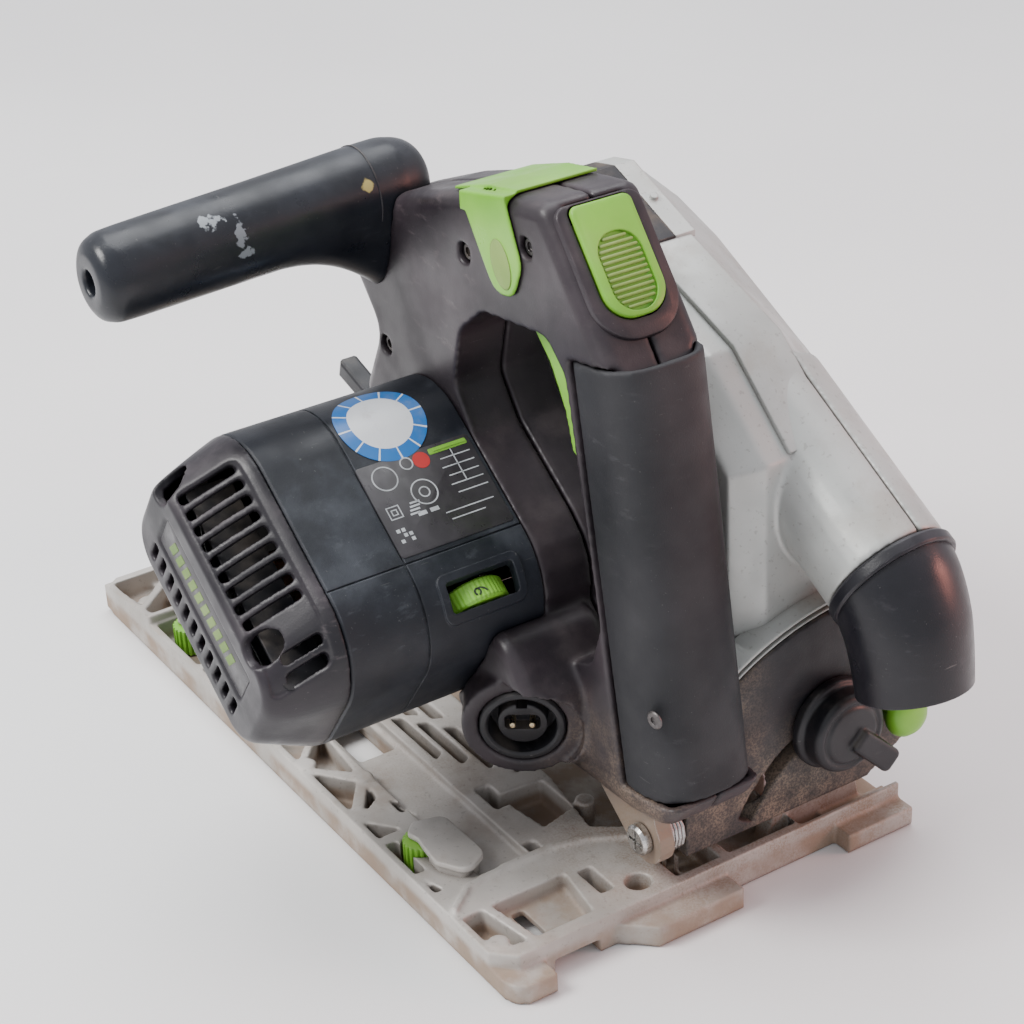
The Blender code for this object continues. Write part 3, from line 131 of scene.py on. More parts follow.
def inset(outline, depth):
    """Move every edge of a polygon inwards by depth."""
    area = sum(a[0] * b[1] - b[0] * a[1] for a, b in zip(outline, outline[1:] + outline[:1]))
    side = 1.0 if area > 0 else -1.0
    moved = []
    for i, here in enumerate(outline):
        before, after = outline[i - 1], outline[(i + 1) % len(outline)]
        e0 = Vector((here[0] - before[0], here[1] - before[1])).normalized()
        e1 = Vector((after[0] - here[0], after[1] - here[1])).normalized()
        n0, n1 = Vector((-e0.y, e0.x)) * side, Vector((-e1.y, e1.x)) * side
        mitre = (n0 + n1) / (1.0 + n0.dot(n1))
        moved.append((here[0] + mitre.x * depth, here[1] + mitre.y * depth))
    return moved


class Plane:
    """A flat drawing board in space: origin, two directions on it and its normal."""

    def __init__(self, origin, u, v):
        self.origin, self.u, self.v = Vector(origin), Vector(u).normalized(), Vector(v).normalized()
        self.n = self.u.cross(self.v)

    def at(self, u, v, n=0.0):
        return self.origin + self.u * u + self.v * v + self.n * n

    def ring(self, outline, level):
        return [self.at(u, v, level) for u, v in outline]


def slab(name, plane, outline, low, high, look=None, edge=0.0):
    """Plate on a plane between two levels, its top edge rounded over by edge."""
    levels = [(low, 0.0), (high - edge, 0.0)]
    if edge:
        levels += [(high - edge * 0.3, edge * 0.3), (high, edge)]
    return loft(name, [plane.ring(inset(outline, d), n) for n, d in levels], look)


def spline(stops, steps):
    """Smooth run through tuples of equal length."""
    run = []
    for i in range(len(stops) - 1):
        near = (stops[max(i - 1, 0)], stops[i], stops[i + 1], stops[min(i + 2, len(stops) - 1)])
        for k in range(steps):
            t = k / steps
            run.append(tuple(b + 0.5 * t * (c - a + t * (2 * a - 5 * b + 4 * c - d
                                                         + t * (3 * b - a - 3 * c + d)))
                             for a, b, c, d in zip(*near)))
    run.append(tuple(stops[-1]))
    return run


def ribbon(points, width):
    """Outline of a stroke of even width along a run of points."""
    left, right = [], []
    for i, here in enumerate(points):
        before, after = points[max(i - 1, 0)], points[min(i + 1, len(points) - 1)]
        way = Vector((after[0] - before[0], after[1] - before[1])).normalized()
        side = Vector((-way.y, way.x)) * (width / 2)
        left.append((here[0] + side.x, here[1] + side.y))
        right.append((here[0] - side.x, here[1] - side.y))
    return left + right[::-1]


def box_outline(u0, v0, u1, v1, radius=0.0, steps=6):
    return rounded([(u0, v0, radius), (u1, v0, radius), (u1, v1, radius), (u0, v1, radius)], steps)


def circle(radius, steps=32, centre=(0.0, 0.0)):
    return [(centre[0] + radius * cos(2 * pi * k / steps),
             centre[1] + radius * sin(2 * pi * k / steps)) for k in range(steps)]


def lathe(name, profile, origin, axis, look=None, steps=48):
    """Turn (radius, height) pairs about an axis; a profile off the axis makes a ring."""
    turn = Vector(axis).to_track_quat("Z", "Y").to_matrix().to_4x4()
    place = Matrix.Translation(Vector(origin)) @ turn
    bm = bmesh.new()
    rows = []
    for radius, height in profile:
        if radius == 0:
            rows.append([bm.verts.new(place @ Vector((0, 0, height)))])
            continue
        rows.append([bm.verts.new(place @ Vector((u, v, height))) for u, v in circle(radius, steps)])
    pairs = list(zip(rows, rows[1:]))
    if profile[0][0] or profile[-1][0]:
        pairs.append((rows[-1], rows[0]))
    for low, high in pairs:
        for i in range(steps):
            j = (i + 1) % steps
            if len(low) == 1:
                bm.faces.new((low[0], high[j], high[i]))
            elif len(high) == 1:
                bm.faces.new((low[i], low[j], high[0]))
            else:
                bm.faces.new((low[i], low[j], high[j], high[i]))
    return from_bmesh(name, bm, look)


def applied(obj):
    """Bake the modifiers into the mesh."""
    bpy.context.view_layer.update()
    solid = obj.evaluated_get(bpy.context.evaluated_depsgraph_get())
    mesh = bpy.data.meshes.new_from_object(solid)
    obj.modifiers.clear()
    obj.data = mesh
    mesh.set_sharp_from_angle(angle=SHARP)
    return obj


def combine(target, tool, operation):
    """Boolean that uses up its tool."""
    step = target.modifiers.new("step", "BOOLEAN")
    step.operation, step.solver, step.object = operation, "EXACT", tool
    applied(target)
    bpy.data.objects.remove(tool, do_unlink=True)
    return target


def cut(target, *tools):
    for tool in tools:
        combine(target, tool, "DIFFERENCE")
    return target


def fuse(target, *tools):
    for tool in tools:
        combine(target, tool, "UNION")
    return target


def keep(target, tool):
    return combine(target, tool, "INTERSECT")


def join(name, parts):
    """Gather loose parts in one object."""
    bm = bmesh.new()
    look = parts[0].data.materials[0]
    for part in parts:
        bm.from_mesh(part.data)
        bpy.data.objects.remove(part, do_unlink=True)
    mesh = bpy.data.meshes.new(name)
    bm.to_mesh(mesh)
    bm.free()
    obj = bpy.data.objects.new(name, mesh)
    bpy.context.scene.collection.objects.link(obj)
    mesh.materials.append(look)
    return obj


def soften(obj, voxel, rounds):
    """Round every edge of a solid, as moulding and casting do."""
    weld = obj.modifiers.new("weld", "WELD")
    weld.merge_threshold = 0.00001
    remesh = obj.modifiers.new("remesh", "REMESH")
    remesh.mode = "VOXEL"
    remesh.voxel_size = voxel * MM
    remesh.use_smooth_shade = True
    smooth = obj.modifiers.new("smooth", "SMOOTH")
    smooth.factor = 0.5
    smooth.iterations = rounds
    return obj


# ---------------------------------------------------------------- materials

class Look:
    """A Principled material built node by node."""

    def __init__(self, name, rough=0.5, metal=0.0, **sockets):
        self.mat = bpy.data.materials.new(name)
        self.mat.use_nodes = True
        self.tree = self.mat.node_tree
        self.shader = self.tree.nodes["Principled BSDF"]
        self.shader.inputs["Metallic"].default_value = metal
        self.shader.inputs["Roughness"].default_value = rough
        for key, value in sockets.items():
            self.shader.inputs[key.replace("_", " ")].default_value = value
        self.where = self.add("ShaderNodeTexCoord").outputs["Object"]
        self.facing = self.add("ShaderNodeTexCoord").outputs["Normal"]

    def add(self, kind, inputs=(), **settings):
        """New node; an input is a socket to link or a value."""
        node = self.tree.nodes.new(kind)
        for key, value in settings.items():
            setattr(node, key, value)
        for key, value in dict(inputs).items():
            if isinstance(value, bpy.types.NodeSocket):
                self.tree.links.new(value, node.inputs[key])
            else:
                node.inputs[key].default_value = value
        return node

    def math(self, operation, a, b=0.0, clamp=False):
        return self.add("ShaderNodeMath", {0: a, 1: b}, operation=operation, use_clamp=clamp).outputs[0]

    def ramp(self, value, low, high, to_low=0.0, to_high=1.0):
        """Map low..high on to another range, smoothly and held inside it."""
        node = self.add("ShaderNodeMapRange", {"Value": value, "From Min": low, "From Max": high,
                                               "To Min": to_low, "To Max": to_high})
        node.interpolation_type = "SMOOTHSTEP"
        return node.outputs["Result"]

    def noise(self, scale, detail=3.0, stretch=None, seed=0.0, rough=0.5):
        """Noise in cycles per metre; stretch divides the frequency along each axis."""
        place = self.where
        if stretch or seed:
            place = self.add("ShaderNodeMapping", {
                "Vector": place, "Location": (seed, seed * 0.7, -seed),
                "Scale": stretch or (1.0, 1.0, 1.0)}).outputs["Vector"]
        node = self.add("ShaderNodeTexNoise", {"Vector": place, "Scale": scale, "Detail": detail,
                                               "Roughness": rough})
        return node.outputs["Fac"]

    def mix(self, share, a, b):
        node = self.add("ShaderNodeMix", data_type="RGBA")
        for key, value in ((0, share), (6, a), (7, b)):
            if isinstance(value, bpy.types.NodeSocket):
                self.tree.links.new(value, node.inputs[key])
            elif key == 0:
                node.inputs[key].default_value = value
            else:
                node.inputs[key].default_value = (*value, 1.0)
        return node.outputs[2]

    def up(self):
        """1 where the surface faces up, at rest."""
        return self.add("ShaderNodeSeparateXYZ", {0: self.facing}).outputs["Z"]

    def level(self):
        """Height above the floor, at rest."""
        return self.add("ShaderNodeSeparateXYZ", {0: self.where}).outputs["Z"]

    def near(self, point, radius, ragged=0.3, stretch=(1.0, 1.0, 1.0)):
        """Ragged blotch about a point given in millimetres."""
        offset = self.add("ShaderNodeVectorMath", {0: self.where, 1: Vector(point) * MM},
                          operation="SUBTRACT").outputs["Vector"]
        shaped = self.add("ShaderNodeVectorMath", {0: offset, 1: stretch}, operation="MULTIPLY")
        span = self.add("ShaderNodeVectorMath", {0: shaped.outputs["Vector"]}, operation="LENGTH")
        grain = self.math("MULTIPLY", self.math("SUBTRACT", self.noise(260, 5), 0.5),
                          radius * MM * ragged * 4)
        return self.ramp(self.math("ADD", span.outputs["Value"], grain),
                         radius * MM, radius * MM * 0.7)

    def worn(self, radius=0.8):
        """Soft normal over the edges, and a mask of where the edges are."""
        soft = self.add("ShaderNodeBevel", {"Radius": radius * MM}, samples=4).outputs["Normal"]
        plain = self.add("ShaderNodeNewGeometry").outputs["Normal"]
        match = self.add("ShaderNodeVectorMath", {0: soft, 1: plain}, operation="DOT_PRODUCT")
        return soft, self.ramp(match.outputs["Value"], 0.985, 0.80)

    def painted_crevice_shade(self, distance=5.0):
        """Painted shade from ambient occlusion: 1 deep in corners and pockets, 0 on open faces."""
        open_sky = self.add("ShaderNodeAmbientOcclusion", {"Distance": distance * MM}, samples=4)
        return self.ramp(open_sky.outputs["AO"], 0.75, 0.25)

    def dusting(self, point, radius, share):
        """Fine powder, thickest at a point and thinning outwards."""
        offset = self.add("ShaderNodeVectorMath", {0: self.where, 1: Vector(point) * MM},
                          operation="SUBTRACT").outputs["Vector"]
        span = self.add("ShaderNodeVectorMath", {0: offset}, operation="LENGTH").outputs["Value"]
        fall = self.ramp(span, radius * MM, radius * MM * 0.15)
        grains = self.ramp(self.noise(1100, 3, None, 2.7, 0.7), 0.40, 0.62, 0.25, 1.0)
        clouds = self.ramp(self.noise(95, 4, None, 6.3), 0.30, 0.66, 0.2, 1.0)
        return self.math("MULTIPLY", self.math("MULTIPLY", fall, share),
                         self.math("MULTIPLY", grains, clouds))

    def bump(self, height, strength, distance, normal=None):
        inputs = {"Height": height, "Strength": strength, "Distance": distance * MM}
        if normal:
            inputs["Normal"] = normal
        return self.add("ShaderNodeBump", inputs).outputs["Normal"]

    def link(self, socket, value):
        self.tree.links.new(value, self.shader.inputs[socket])


def plastic(name, dark, light, rough=0.55, grain=0.5, dust=0.35, dust_colour=(0.30, 0.27, 0.23),
            wear=(0.16, 0.16, 0.17), wear_share=0.5, scratch=0.5, blotches=(), edge=0.8,
            dustings=(), powder_tint=(0.24, 0.175, 0.125)):
    """Moulded plastic: spark texture, handling marks, dust on top, pale rubbed edges."""
    look = Look(name, Specular_IOR_Level=0.42)
    base = look.mix(look.ramp(look.noise(28, 4), 0.35, 0.68), dark, light)
    scuffs = look.math("MULTIPLY", look.ramp(look.noise(90, 6, (1.0, 1.0, 3.0), 3.1, 0.65), 0.56, 0.72),
                       look.ramp(look.noise(14, 2, None, 7.0), 0.45, 0.65))
    hair_a = look.ramp(look.noise(900, 2, (0.04, 1.0, 1.0), 1.7), 0.72, 0.76)
    hair_b = look.ramp(look.noise(800, 2, (1.0, 0.05, 0.5), 5.2), 0.73, 0.77)
    hair = look.math("MULTIPLY", look.math("MAXIMUM", hair_a, hair_b),
                     look.math("MULTIPLY", look.ramp(look.noise(20, 2, None, 9.0), 0.42, 0.6), scratch))
    specks = look.math("MULTIPLY", look.ramp(look.noise(1300, 1, None, 2.0), 0.76, 0.82), scratch)
    powder = look.math("MULTIPLY", look.ramp(look.up(), 0.15, 0.95),
                       look.ramp(look.noise(42, 6, None, 4.4, 0.6), 0.42, 0.72))
    powder = look.math("MULTIPLY", powder, dust)
    normal, edges = look.worn(edge)
    rubbed = look.math("MULTIPLY", edges, look.ramp(look.noise(120, 4, None, 6.6), 0.40, 0.62))
    rubbed = look.math("MULTIPLY", rubbed, wear_share)
    colour = look.mix(look.math("MULTIPLY", scuffs, 0.45), base, wear)
    colour = look.mix(powder, colour, dust_colour)
    colour = look.mix(look.math("MULTIPLY", look.math("ADD", hair, specks, True), 0.45), colour,
                      (0.22, 0.21, 0.20))
    colour = look.mix(rubbed, colour, tuple(min(c * 2.2, 0.6) for c in wear))
    # Blotches at given points: marks, and on the bar painted highlights
    for point, radius, ragged, stretch, tint, share in blotches:
        colour = look.mix(look.math("MULTIPLY", look.near(point, radius, ragged, stretch), share),
                          colour, tint)
    for point, radius, share in dustings:
        colour = look.mix(look.dusting(point, radius, share), colour, powder_tint)
    look.link("Base Color", colour)
    sheen = look.ramp(look.noise(60, 4, None, 8.0), 0.3, 0.7, rough - 0.09, rough + 0.09)
    look.link("Roughness", look.math("ADD", sheen, look.math("MULTIPLY", powder, 0.35), True))
    spark = look.math("ADD", look.noise(1500, 2), look.math("MULTIPLY", scuffs, -0.6))
    look.link("Normal", look.bump(spark, grain, 0.12, normal))
    return look.mat


def cast_metal(name, pale, deep, dust=0.6, floor_level=None, rough=0.55, metal=0.35, edge=0.8,
               blotches=(), grain=0.5, dust_colour=(0.27, 0.19, 0.13), bright=(0.62, 0.60, 0.57),
              painted_crevice_shade=0.6, dustings=()):
    """Cast or painted metal: skin grain, random stains, painted shade darkening the hollows, bright
    chips on the edges.
    """
    look = Look(name, metal=metal)
    base = look.mix(look.ramp(look.noise(22, 5), 0.35, 0.68), deep, pale)
    stain = look.ramp(look.noise(36, 7, None, 3.3, 0.65), 0.46, 0.70)
    fleck = look.ramp(look.noise(520, 3, None, 2.2), 0.62, 0.70)
    powder = look.math("MULTIPLY", look.ramp(look.up(), 0.3, 0.95), stain)
    if floor_level is not None:
        low = look.ramp(look.level(), floor_level * MM * 1.6, floor_level * MM)
        patches = look.ramp(look.noise(55, 5, None, 5.5), 0.3, 0.62)
        powder = look.math("ADD", look.math("MULTIPLY", powder, 0.45),
                           look.math("MULTIPLY", low, patches), True)
    powder = look.math("MULTIPLY", powder, dust)
    normal, edges = look.worn(edge)
    chips = look.math("MULTIPLY", edges, look.ramp(look.noise(150, 4, None, 6.1), 0.46, 0.60))
    colour = look.mix(look.math("MULTIPLY", stain, 0.25), base, deep)
    # Painted shade: corners and pockets darkened towards dark brown by ambient occlusion
    colour = look.mix(look.math("MULTIPLY", look.painted_crevice_shade(), painted_crevice_shade), colour, (0.085, 0.065, 0.05))
    colour = look.mix(powder, colour, dust_colour)
    colour = look.mix(look.math("MULTIPLY", fleck, 0.35), colour, (0.20, 0.18, 0.16))
    colour = look.mix(look.math("MULTIPLY", chips, 0.8), colour, bright)
    for point, radius, ragged, stretch, tint, share in blotches:
        colour = look.mix(look.math("MULTIPLY", look.near(point, radius, ragged, stretch), share),
                          colour, tint)
    for point, radius, share in dustings:
        colour = look.mix(look.dusting(point, radius, share), colour, dust_colour)
    look.link("Base Color", colour)
    sheen = look.ramp(look.noise(80, 4, None, 8.0), 0.3, 0.7, rough - 0.1, rough + 0.1)
    look.link("Roughness", look.math("ADD", sheen, look.math("MULTIPLY", powder, 0.3), True))
    skin = look.math("ADD", look.noise(700, 4, None, 1.0, 0.6), look.math("MULTIPLY", chips, -0.5))
    look.link("Normal", look.bump(skin, grain, 0.15, normal))
    return look.mat


def machined(name, colour, rough=0.3, stretch=(1.0, 1.0, 1.0), dirt=0.3):
    """Turned, ground or plated steel with fine lines and a little dirt."""
    look = Look(name, metal=1.0)
    lines = look.noise(1400, 2, stretch)
    grime = look.ramp(look.noise(120, 5, None, 4.0), 0.5, 0.72)
    normal, _ = look.worn(0.4)
    tone = look.mix(look.ramp(lines, 0.3, 0.7), tuple(c * 0.8 for c in colour), colour)
    look.link("Base Color", look.mix(look.math("MULTIPLY", grime, dirt), tone, (0.12, 0.10, 0.08)))
    look.link("Roughness", look.ramp(look.noise(300, 3, None, 2.0), 0.3, 0.7,
                                     rough - 0.08, rough + 0.15))
    look.link("Normal", look.bump(lines, 0.25, 0.05, normal))
    return look.mat


def plain(name, colour, rough=0.5, metal=0.0, vary=0.25, grain=0.2):
    """Simple small part: slight colour variation and grain."""
    look = Look(name, metal=metal)
    look.link("Base Color", look.mix(look.ramp(look.noise(150, 4), 0.35, 0.65), colour,
                                     tuple(c * (1.0 - vary) for c in colour)))
    look.link("Roughness", look.ramp(look.noise(200, 3, None, 3.0), 0.3, 0.7,
                                     rough - 0.08, rough + 0.08))
    look.link("Normal", look.bump(look.noise(1200, 2), grain, 0.08))
    return look.mat


def film(name, colour):
    """Printed film: dirt smears and a faint wrinkle."""
    look = Look(name)
    dirt = look.ramp(look.noise(70, 6, None, 2.0, 0.65), 0.50, 0.78)
    look.link("Base Color", look.mix(look.math("MULTIPLY", dirt, 0.4), colour, (0.30, 0.28, 0.26)))
    look.link("Roughness", look.ramp(dirt, 0.0, 1.0, 0.30, 0.6))
    look.link("Normal", look.bump(look.noise(180, 4), 0.25, 0.15))
    return look.mat


# A plastic has two shades, roughness, grain, dust and its colour, wear colour and share, scratches.
# Blotches are point, radius, raggedness, stretch, colour, share, and some stand for painted highlights;
# dustings are point, radius, share.
ROUND = (1.0, 1.0, 1.0)
BROWN_DUST = (0.26, 0.22, 0.18)
MOTOR_LOOK = plastic("motor_finish", (0.006, 0.0075, 0.012), (0.013, 0.0155, 0.022), 0.46, 0.45, 0.30,
                     (0.10, 0.11, 0.13), (0.055, 0.06, 0.07), 0.5, 0.5,
                     blotches=[((62, -97, 139), 9, 0.5, (1.0, 0.8, 1.0), (0.09, 0.095, 0.11), 0.45),
                               ((77, -95, 121), 8, 0.5, (1.0, 0.8, 1.0), (0.09, 0.095, 0.11), 0.40)])
CAP_LOOK = plastic("cap_finish", (0.008, 0.007, 0.010), (0.020, 0.016, 0.021), 0.38, 0.35, 0.38,
                   (0.12, 0.10, 0.11), (0.09, 0.075, 0.08), 0.7, 0.5)
ARCH_LOOK = plastic("arch_finish", (0.013, 0.010, 0.013), (0.034, 0.026, 0.031), 0.40, 0.4, 0.34,
                    (0.12, 0.095, 0.095), (0.09, 0.07, 0.075), 0.5, 0.4,
                    dustings=[((158, -28, 50), 30, 0.7), ((130, -28, 60), 34, 0.35)])
BAR_LOOK = plastic("bar_finish", (0.006, 0.0075, 0.011), (0.012, 0.014, 0.019), 0.34, 0.3, 0.22,
                   (0.09, 0.10, 0.12), (0.045, 0.05, 0.06), 0.4, 0.4,
                   # The first two bar blotches are painted highlights, pale patches along the top of
                   # the handle
                   blotches=[((6, -100, 247), 5, 1.0, (2.4, 1.0, 1.0), (0.36, 0.40, 0.43), 0.75),
                             ((12, -90, 240), 4.5, 1.1, (1.0, 1.6, 0.6), (0.30, 0.33, 0.36), 0.6),
                             ((4, -36, 243), 3.0, 0.3, ROUND, (0.42, 0.36, 0.12), 0.9)])
GRIP_LOOK = plastic("grip_finish", (0.009, 0.0095, 0.012), (0.018, 0.018, 0.021), 0.58, 0.55, 0.22,
                    (0.11, 0.105, 0.11), (0.05, 0.05, 0.055), 0.3, 0.4, edge=1.2,
                    blotches=[((163, -27, 118), 1.8, 0.8, (1.0, 1.0, 0.5), (0.4, 0.38, 0.36), 0.7)])
BLACK_LOOK = plastic("black_finish", (0.006, 0.006, 0.008), (0.012, 0.012, 0.015), 0.40, 0.3, 0.30,
                     BROWN_DUST, (0.06, 0.055, 0.06), 0.5, 0.5)
ELBOW_LOOK = plastic("elbow_finish", (0.006, 0.006, 0.009), (0.016, 0.015, 0.019), 0.34, 0.35, 0.20,
                     (0.10, 0.095, 0.11), (0.07, 0.065, 0.075), 0.6, 0.7)
GREEN_LOOK = plastic("green_finish", (0.15, 0.40, 0.028), (0.22, 0.50, 0.05), 0.36, 0.25, 0.25,
                     (0.26, 0.30, 0.13), (0.17, 0.34, 0.08), 0.25, 0.15)
SEGMENT_LOOK = plastic("segment_finish", (0.008, 0.0085, 0.011), (0.020, 0.019, 0.022), 0.50, 0.6, 0.8,
                       (0.20, 0.155, 0.115), (0.13, 0.105, 0.085), 0.8, 0.6,
                       dustings=[((157, 12, 40), 46, 0.75), ((157, 45, 24), 40, 0.8),
                                 ((157, 88, 30), 26, 0.6), ((155, 10, 86), 26, 0.6)])
# The base takes strong painted shade in its corners and pockets
BASE_LOOK = cast_metal("base_finish", (0.52, 0.49, 0.455), (0.36, 0.335, 0.305), 0.8, 7.0, 0.50, 0.25,
                       dust_colour=(0.27, 0.185, 0.125), painted_crevice_shade=0.75,
                       dustings=[((150, 30, 8), 90, 0.75), ((120, -10, 8), 60, 0.6),
                                 ((40, -40, 8), 60, 0.35), ((168, 75, 8), 40, 0.7)])
GUARD_LOOK = cast_metal("guard_finish", (0.50, 0.51, 0.49), (0.42, 0.43, 0.41), 0.30, None, 0.40, 0.30,
                        grain=0.25,
                        blotches=[((118, 92, 171), 2.6, 0.3, ROUND, (0.30, 0.20, 0.06), 0.9)])
CAST_LOOK = cast_metal("casting_finish", (0.34, 0.28, 0.23), (0.22, 0.17, 0.135), 0.7, None, 0.55, 0.4,
                       dustings=[((145, -20, 40), 40, 0.8)])
STEEL_LOOK = machined("steel_finish", (0.52, 0.51, 0.50), 0.34)
STEEL_DARK = machined("dark_steel_finish", (0.16, 0.15, 0.15), 0.42, dirt=0.7)
BRASS_LOOK = machined("brass_finish", (0.75, 0.62, 0.40), 0.3)
RIB_LOOK = plastic("rib_finish", (0.16, 0.27, 0.05), (0.24, 0.36, 0.09), 0.5, 0.3, 0.3,
                   (0.28, 0.30, 0.16), (0.20, 0.34, 0.10), 0.3, 0.1)
GREEN_DULL = plastic("dull_green_finish", (0.10, 0.19, 0.03), (0.16, 0.25, 0.05), 0.5, 0.3, 0.5,
                     (0.12, 0.10, 0.08), (0.14, 0.13, 0.08), 0.6, 0.6)
INK_DARK = plain("dark_ink_finish", (0.02, 0.03, 0.02), 0.5)
ZINC_LOOK = machined("zinc_finish", (0.58, 0.57, 0.55), 0.28)
COPPER_LOOK = machined("copper_finish", (0.68, 0.33, 0.17), 0.35)
BOARD_LOOK = plain("board_finish", (0.03, 0.16, 0.06), 0.45)
CARBON_LOOK = plain("carbon_finish", (0.03, 0.03, 0.03), 0.7)
IRON_LOOK = machined("iron_finish", (0.25, 0.25, 0.27), 0.45, (1.0, 0.02, 1.0))
DARK_FILM_LOOK = plain("dark_film_finish", (0.035, 0.032, 0.036), 0.35)
INK_LOOK = plain("ink_finish", (0.46, 0.48, 0.50), 0.5)
RED_LOOK = plain("red_finish", (0.45, 0.03, 0.03), 0.45)
STICKER_LOOK = film("sticker_finish", (0.66, 0.69, 0.72))
STICKER_BLUE = film("sticker_blue_finish", (0.025, 0.15, 0.44))

# Nodes not named here are plain steel
NODES_BY_LOOK = (
    (BASE_LOOK, "base_plate"),
    (CAST_LOOK, "gearbox_housing gearbox_cover pivot_ear"),
    (GUARD_LOOK, "guard_housing guard_cover top_strip"),
    (MOTOR_LOOK, "motor_housing"),
    (CAP_LOOK, "end_cap"),
    (BAR_LOOK, "front_handle"),
    (ARCH_LOOK, "handle_left handle_right"),
    (GRIP_LOOK, "grip_pad"),
    (GREEN_LOOK, "rail_cam_front rail_cam_rear undercut_button trigger thumb_switch speed_dial"),
    (GREEN_LOOK, "trim_strip"),
    (BLACK_LOOK, "rear_bevel_knob front_bevel_knob depth_stop appliance_inlet power_switch fan"),
    (ELBOW_LOOK, "dust_port"),
    (SEGMENT_LOOK, "rear_segment front_segment top_plate"),
    (COPPER_LOOK, "commutator"),
    (BOARD_LOOK, "speed_board"),
    (CARBON_LOOK, "brush_1 brush_2"),
    (IRON_LOOK, "stator armature"),
    (DARK_FILM_LOOK, "end_label depth_scale"),
    (ZINC_LOOK, "plunge_pin arbor_bolt front_clamp_bolt rear_clamp_bolt"),
    (STICKER_LOOK, "sticker"),
)
CAD_LOOKS = {name: look for look, names in NODES_BY_LOOK for name in names.split()}

# Voxel size in millimetres and rounds of smoothing
SOFTENED = {
    "base_plate": (0.8, 2), "guard_housing": (1.1, 3), "guard_cover": (1.1, 3),
    "handle_left": (1.0, 8), "handle_right": (1.0, 8), "rear_segment": (1.0, 3),
    "front_segment": (1.2, 3), "trim_strip": (0.5, 5), "trigger": (0.8, 4),
}


def dress_cad():
    """Every CAD node gets its finish; edges of the cast and moulded ones are rounded."""
    for name, node in NODES.items():
        node.data.materials.clear()
        node.data.materials.append(CAD_LOOKS.get(name, STEEL_LOOK))
    for name, (voxel, rounds) in SOFTENED.items():
        soften(NODES[name], voxel, rounds)


def place(piece, body, slot, *stands_for):
    """Put a piece on a body and hide the nodes it stands for; slot is not used."""
    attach(piece, body)
    if stands_for:
        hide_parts(*stands_for)
    return piece


# ---------------------------------------------------------------- motor and cap

# Stations along the cap: place, growth of both half widths, corner radius
CAP_STOPS = ((CAP_Y, 0.0, 0.0, 30.0), (-113.0, -0.8, -1.5, 29.0), (-126.0, -4.0, -11.0, 24.0),
             (-134.5, -7.5, -18.5, 16.0), (END_Y, -10.5, -21.5, 12.0))
CAP_SCREWS = ((-43.5, 19.5), (28.8, 26.2))
LOUVRES = tuple(-34.0 + 6.6 * k for k in range(9)) + (36.2, 42.6)
DIAL_SLOT = (35.4, -66.6, 45.8, -38.4)


def section(grow=0.0, da=0.0, dh=0.0, radius=SECTION_R):
    """Rounded outline of the motor, in its own tilted directions."""
    a, h, bend = SECTION_A + da + grow, SECTION_H + dh + grow, max(radius + grow, 3.0)
    return rounded([(-a, -h, bend), (a, -h, bend), (a, h, bend), (-a, h, bend)], 14)


def section_ring(y, grow=0.0, **shape):
    return [unit(a, h, y) for a, h in section(grow, **shape)]


def sleeve(low, high, outer, inner):
    """Thin band round the motor section."""
    band = loft("band", [section_ring(low, outer), section_ring(high, outer)])
    return cut(band, loft("core", [section_ring(low - 2, inner), section_ring(high + 2, inner)]))


TOP = Plane(unit(0, SECTION_H), A_AXIS, Y_AXIS)
END = Plane(unit(0, 0, END_Y + 1.0), A_AXIS, H_AXIS)


def build_motor_shell():
    """Motor housing with its seams and the lipped slot of the speed dial."""
    start, stop = CAP_Y + 0.35, SHELL_L - 0.7
    shell = loft("motor_shell", [section_ring(start, -0.9), section_ring(start + 0.8),
                                 section_ring(stop)], MOTOR_LOOK)
    lip = slab("lip", TOP, box_outline(32.5, -69.6, 48.6, -35.4, 3.5), -34.0, 6.0)
    keep(lip, loft("skin", [section_ring(-72.0, 0.9), section_ring(-33.0, 0.9)]))
    fuse(shell, lip)
    cut(shell, loft("hollow", [section_ring(start - 5, -3.5), section_ring(stop + 5, -3.5)]))
    cut(shell, sleeve(-77.5, -76.7, 2.0, -0.7))
    cut(shell, slab("seam", TOP, box_outline(23.7, -120.0, 24.4, -20.0), -0.7, 3.0))
    cut(shell, slab("slot", TOP, box_outline(*DIAL_SLOT, 1.5), -26.0, 9.0))
    place(shell, "unit", "motor_plastic", "motor_housing")


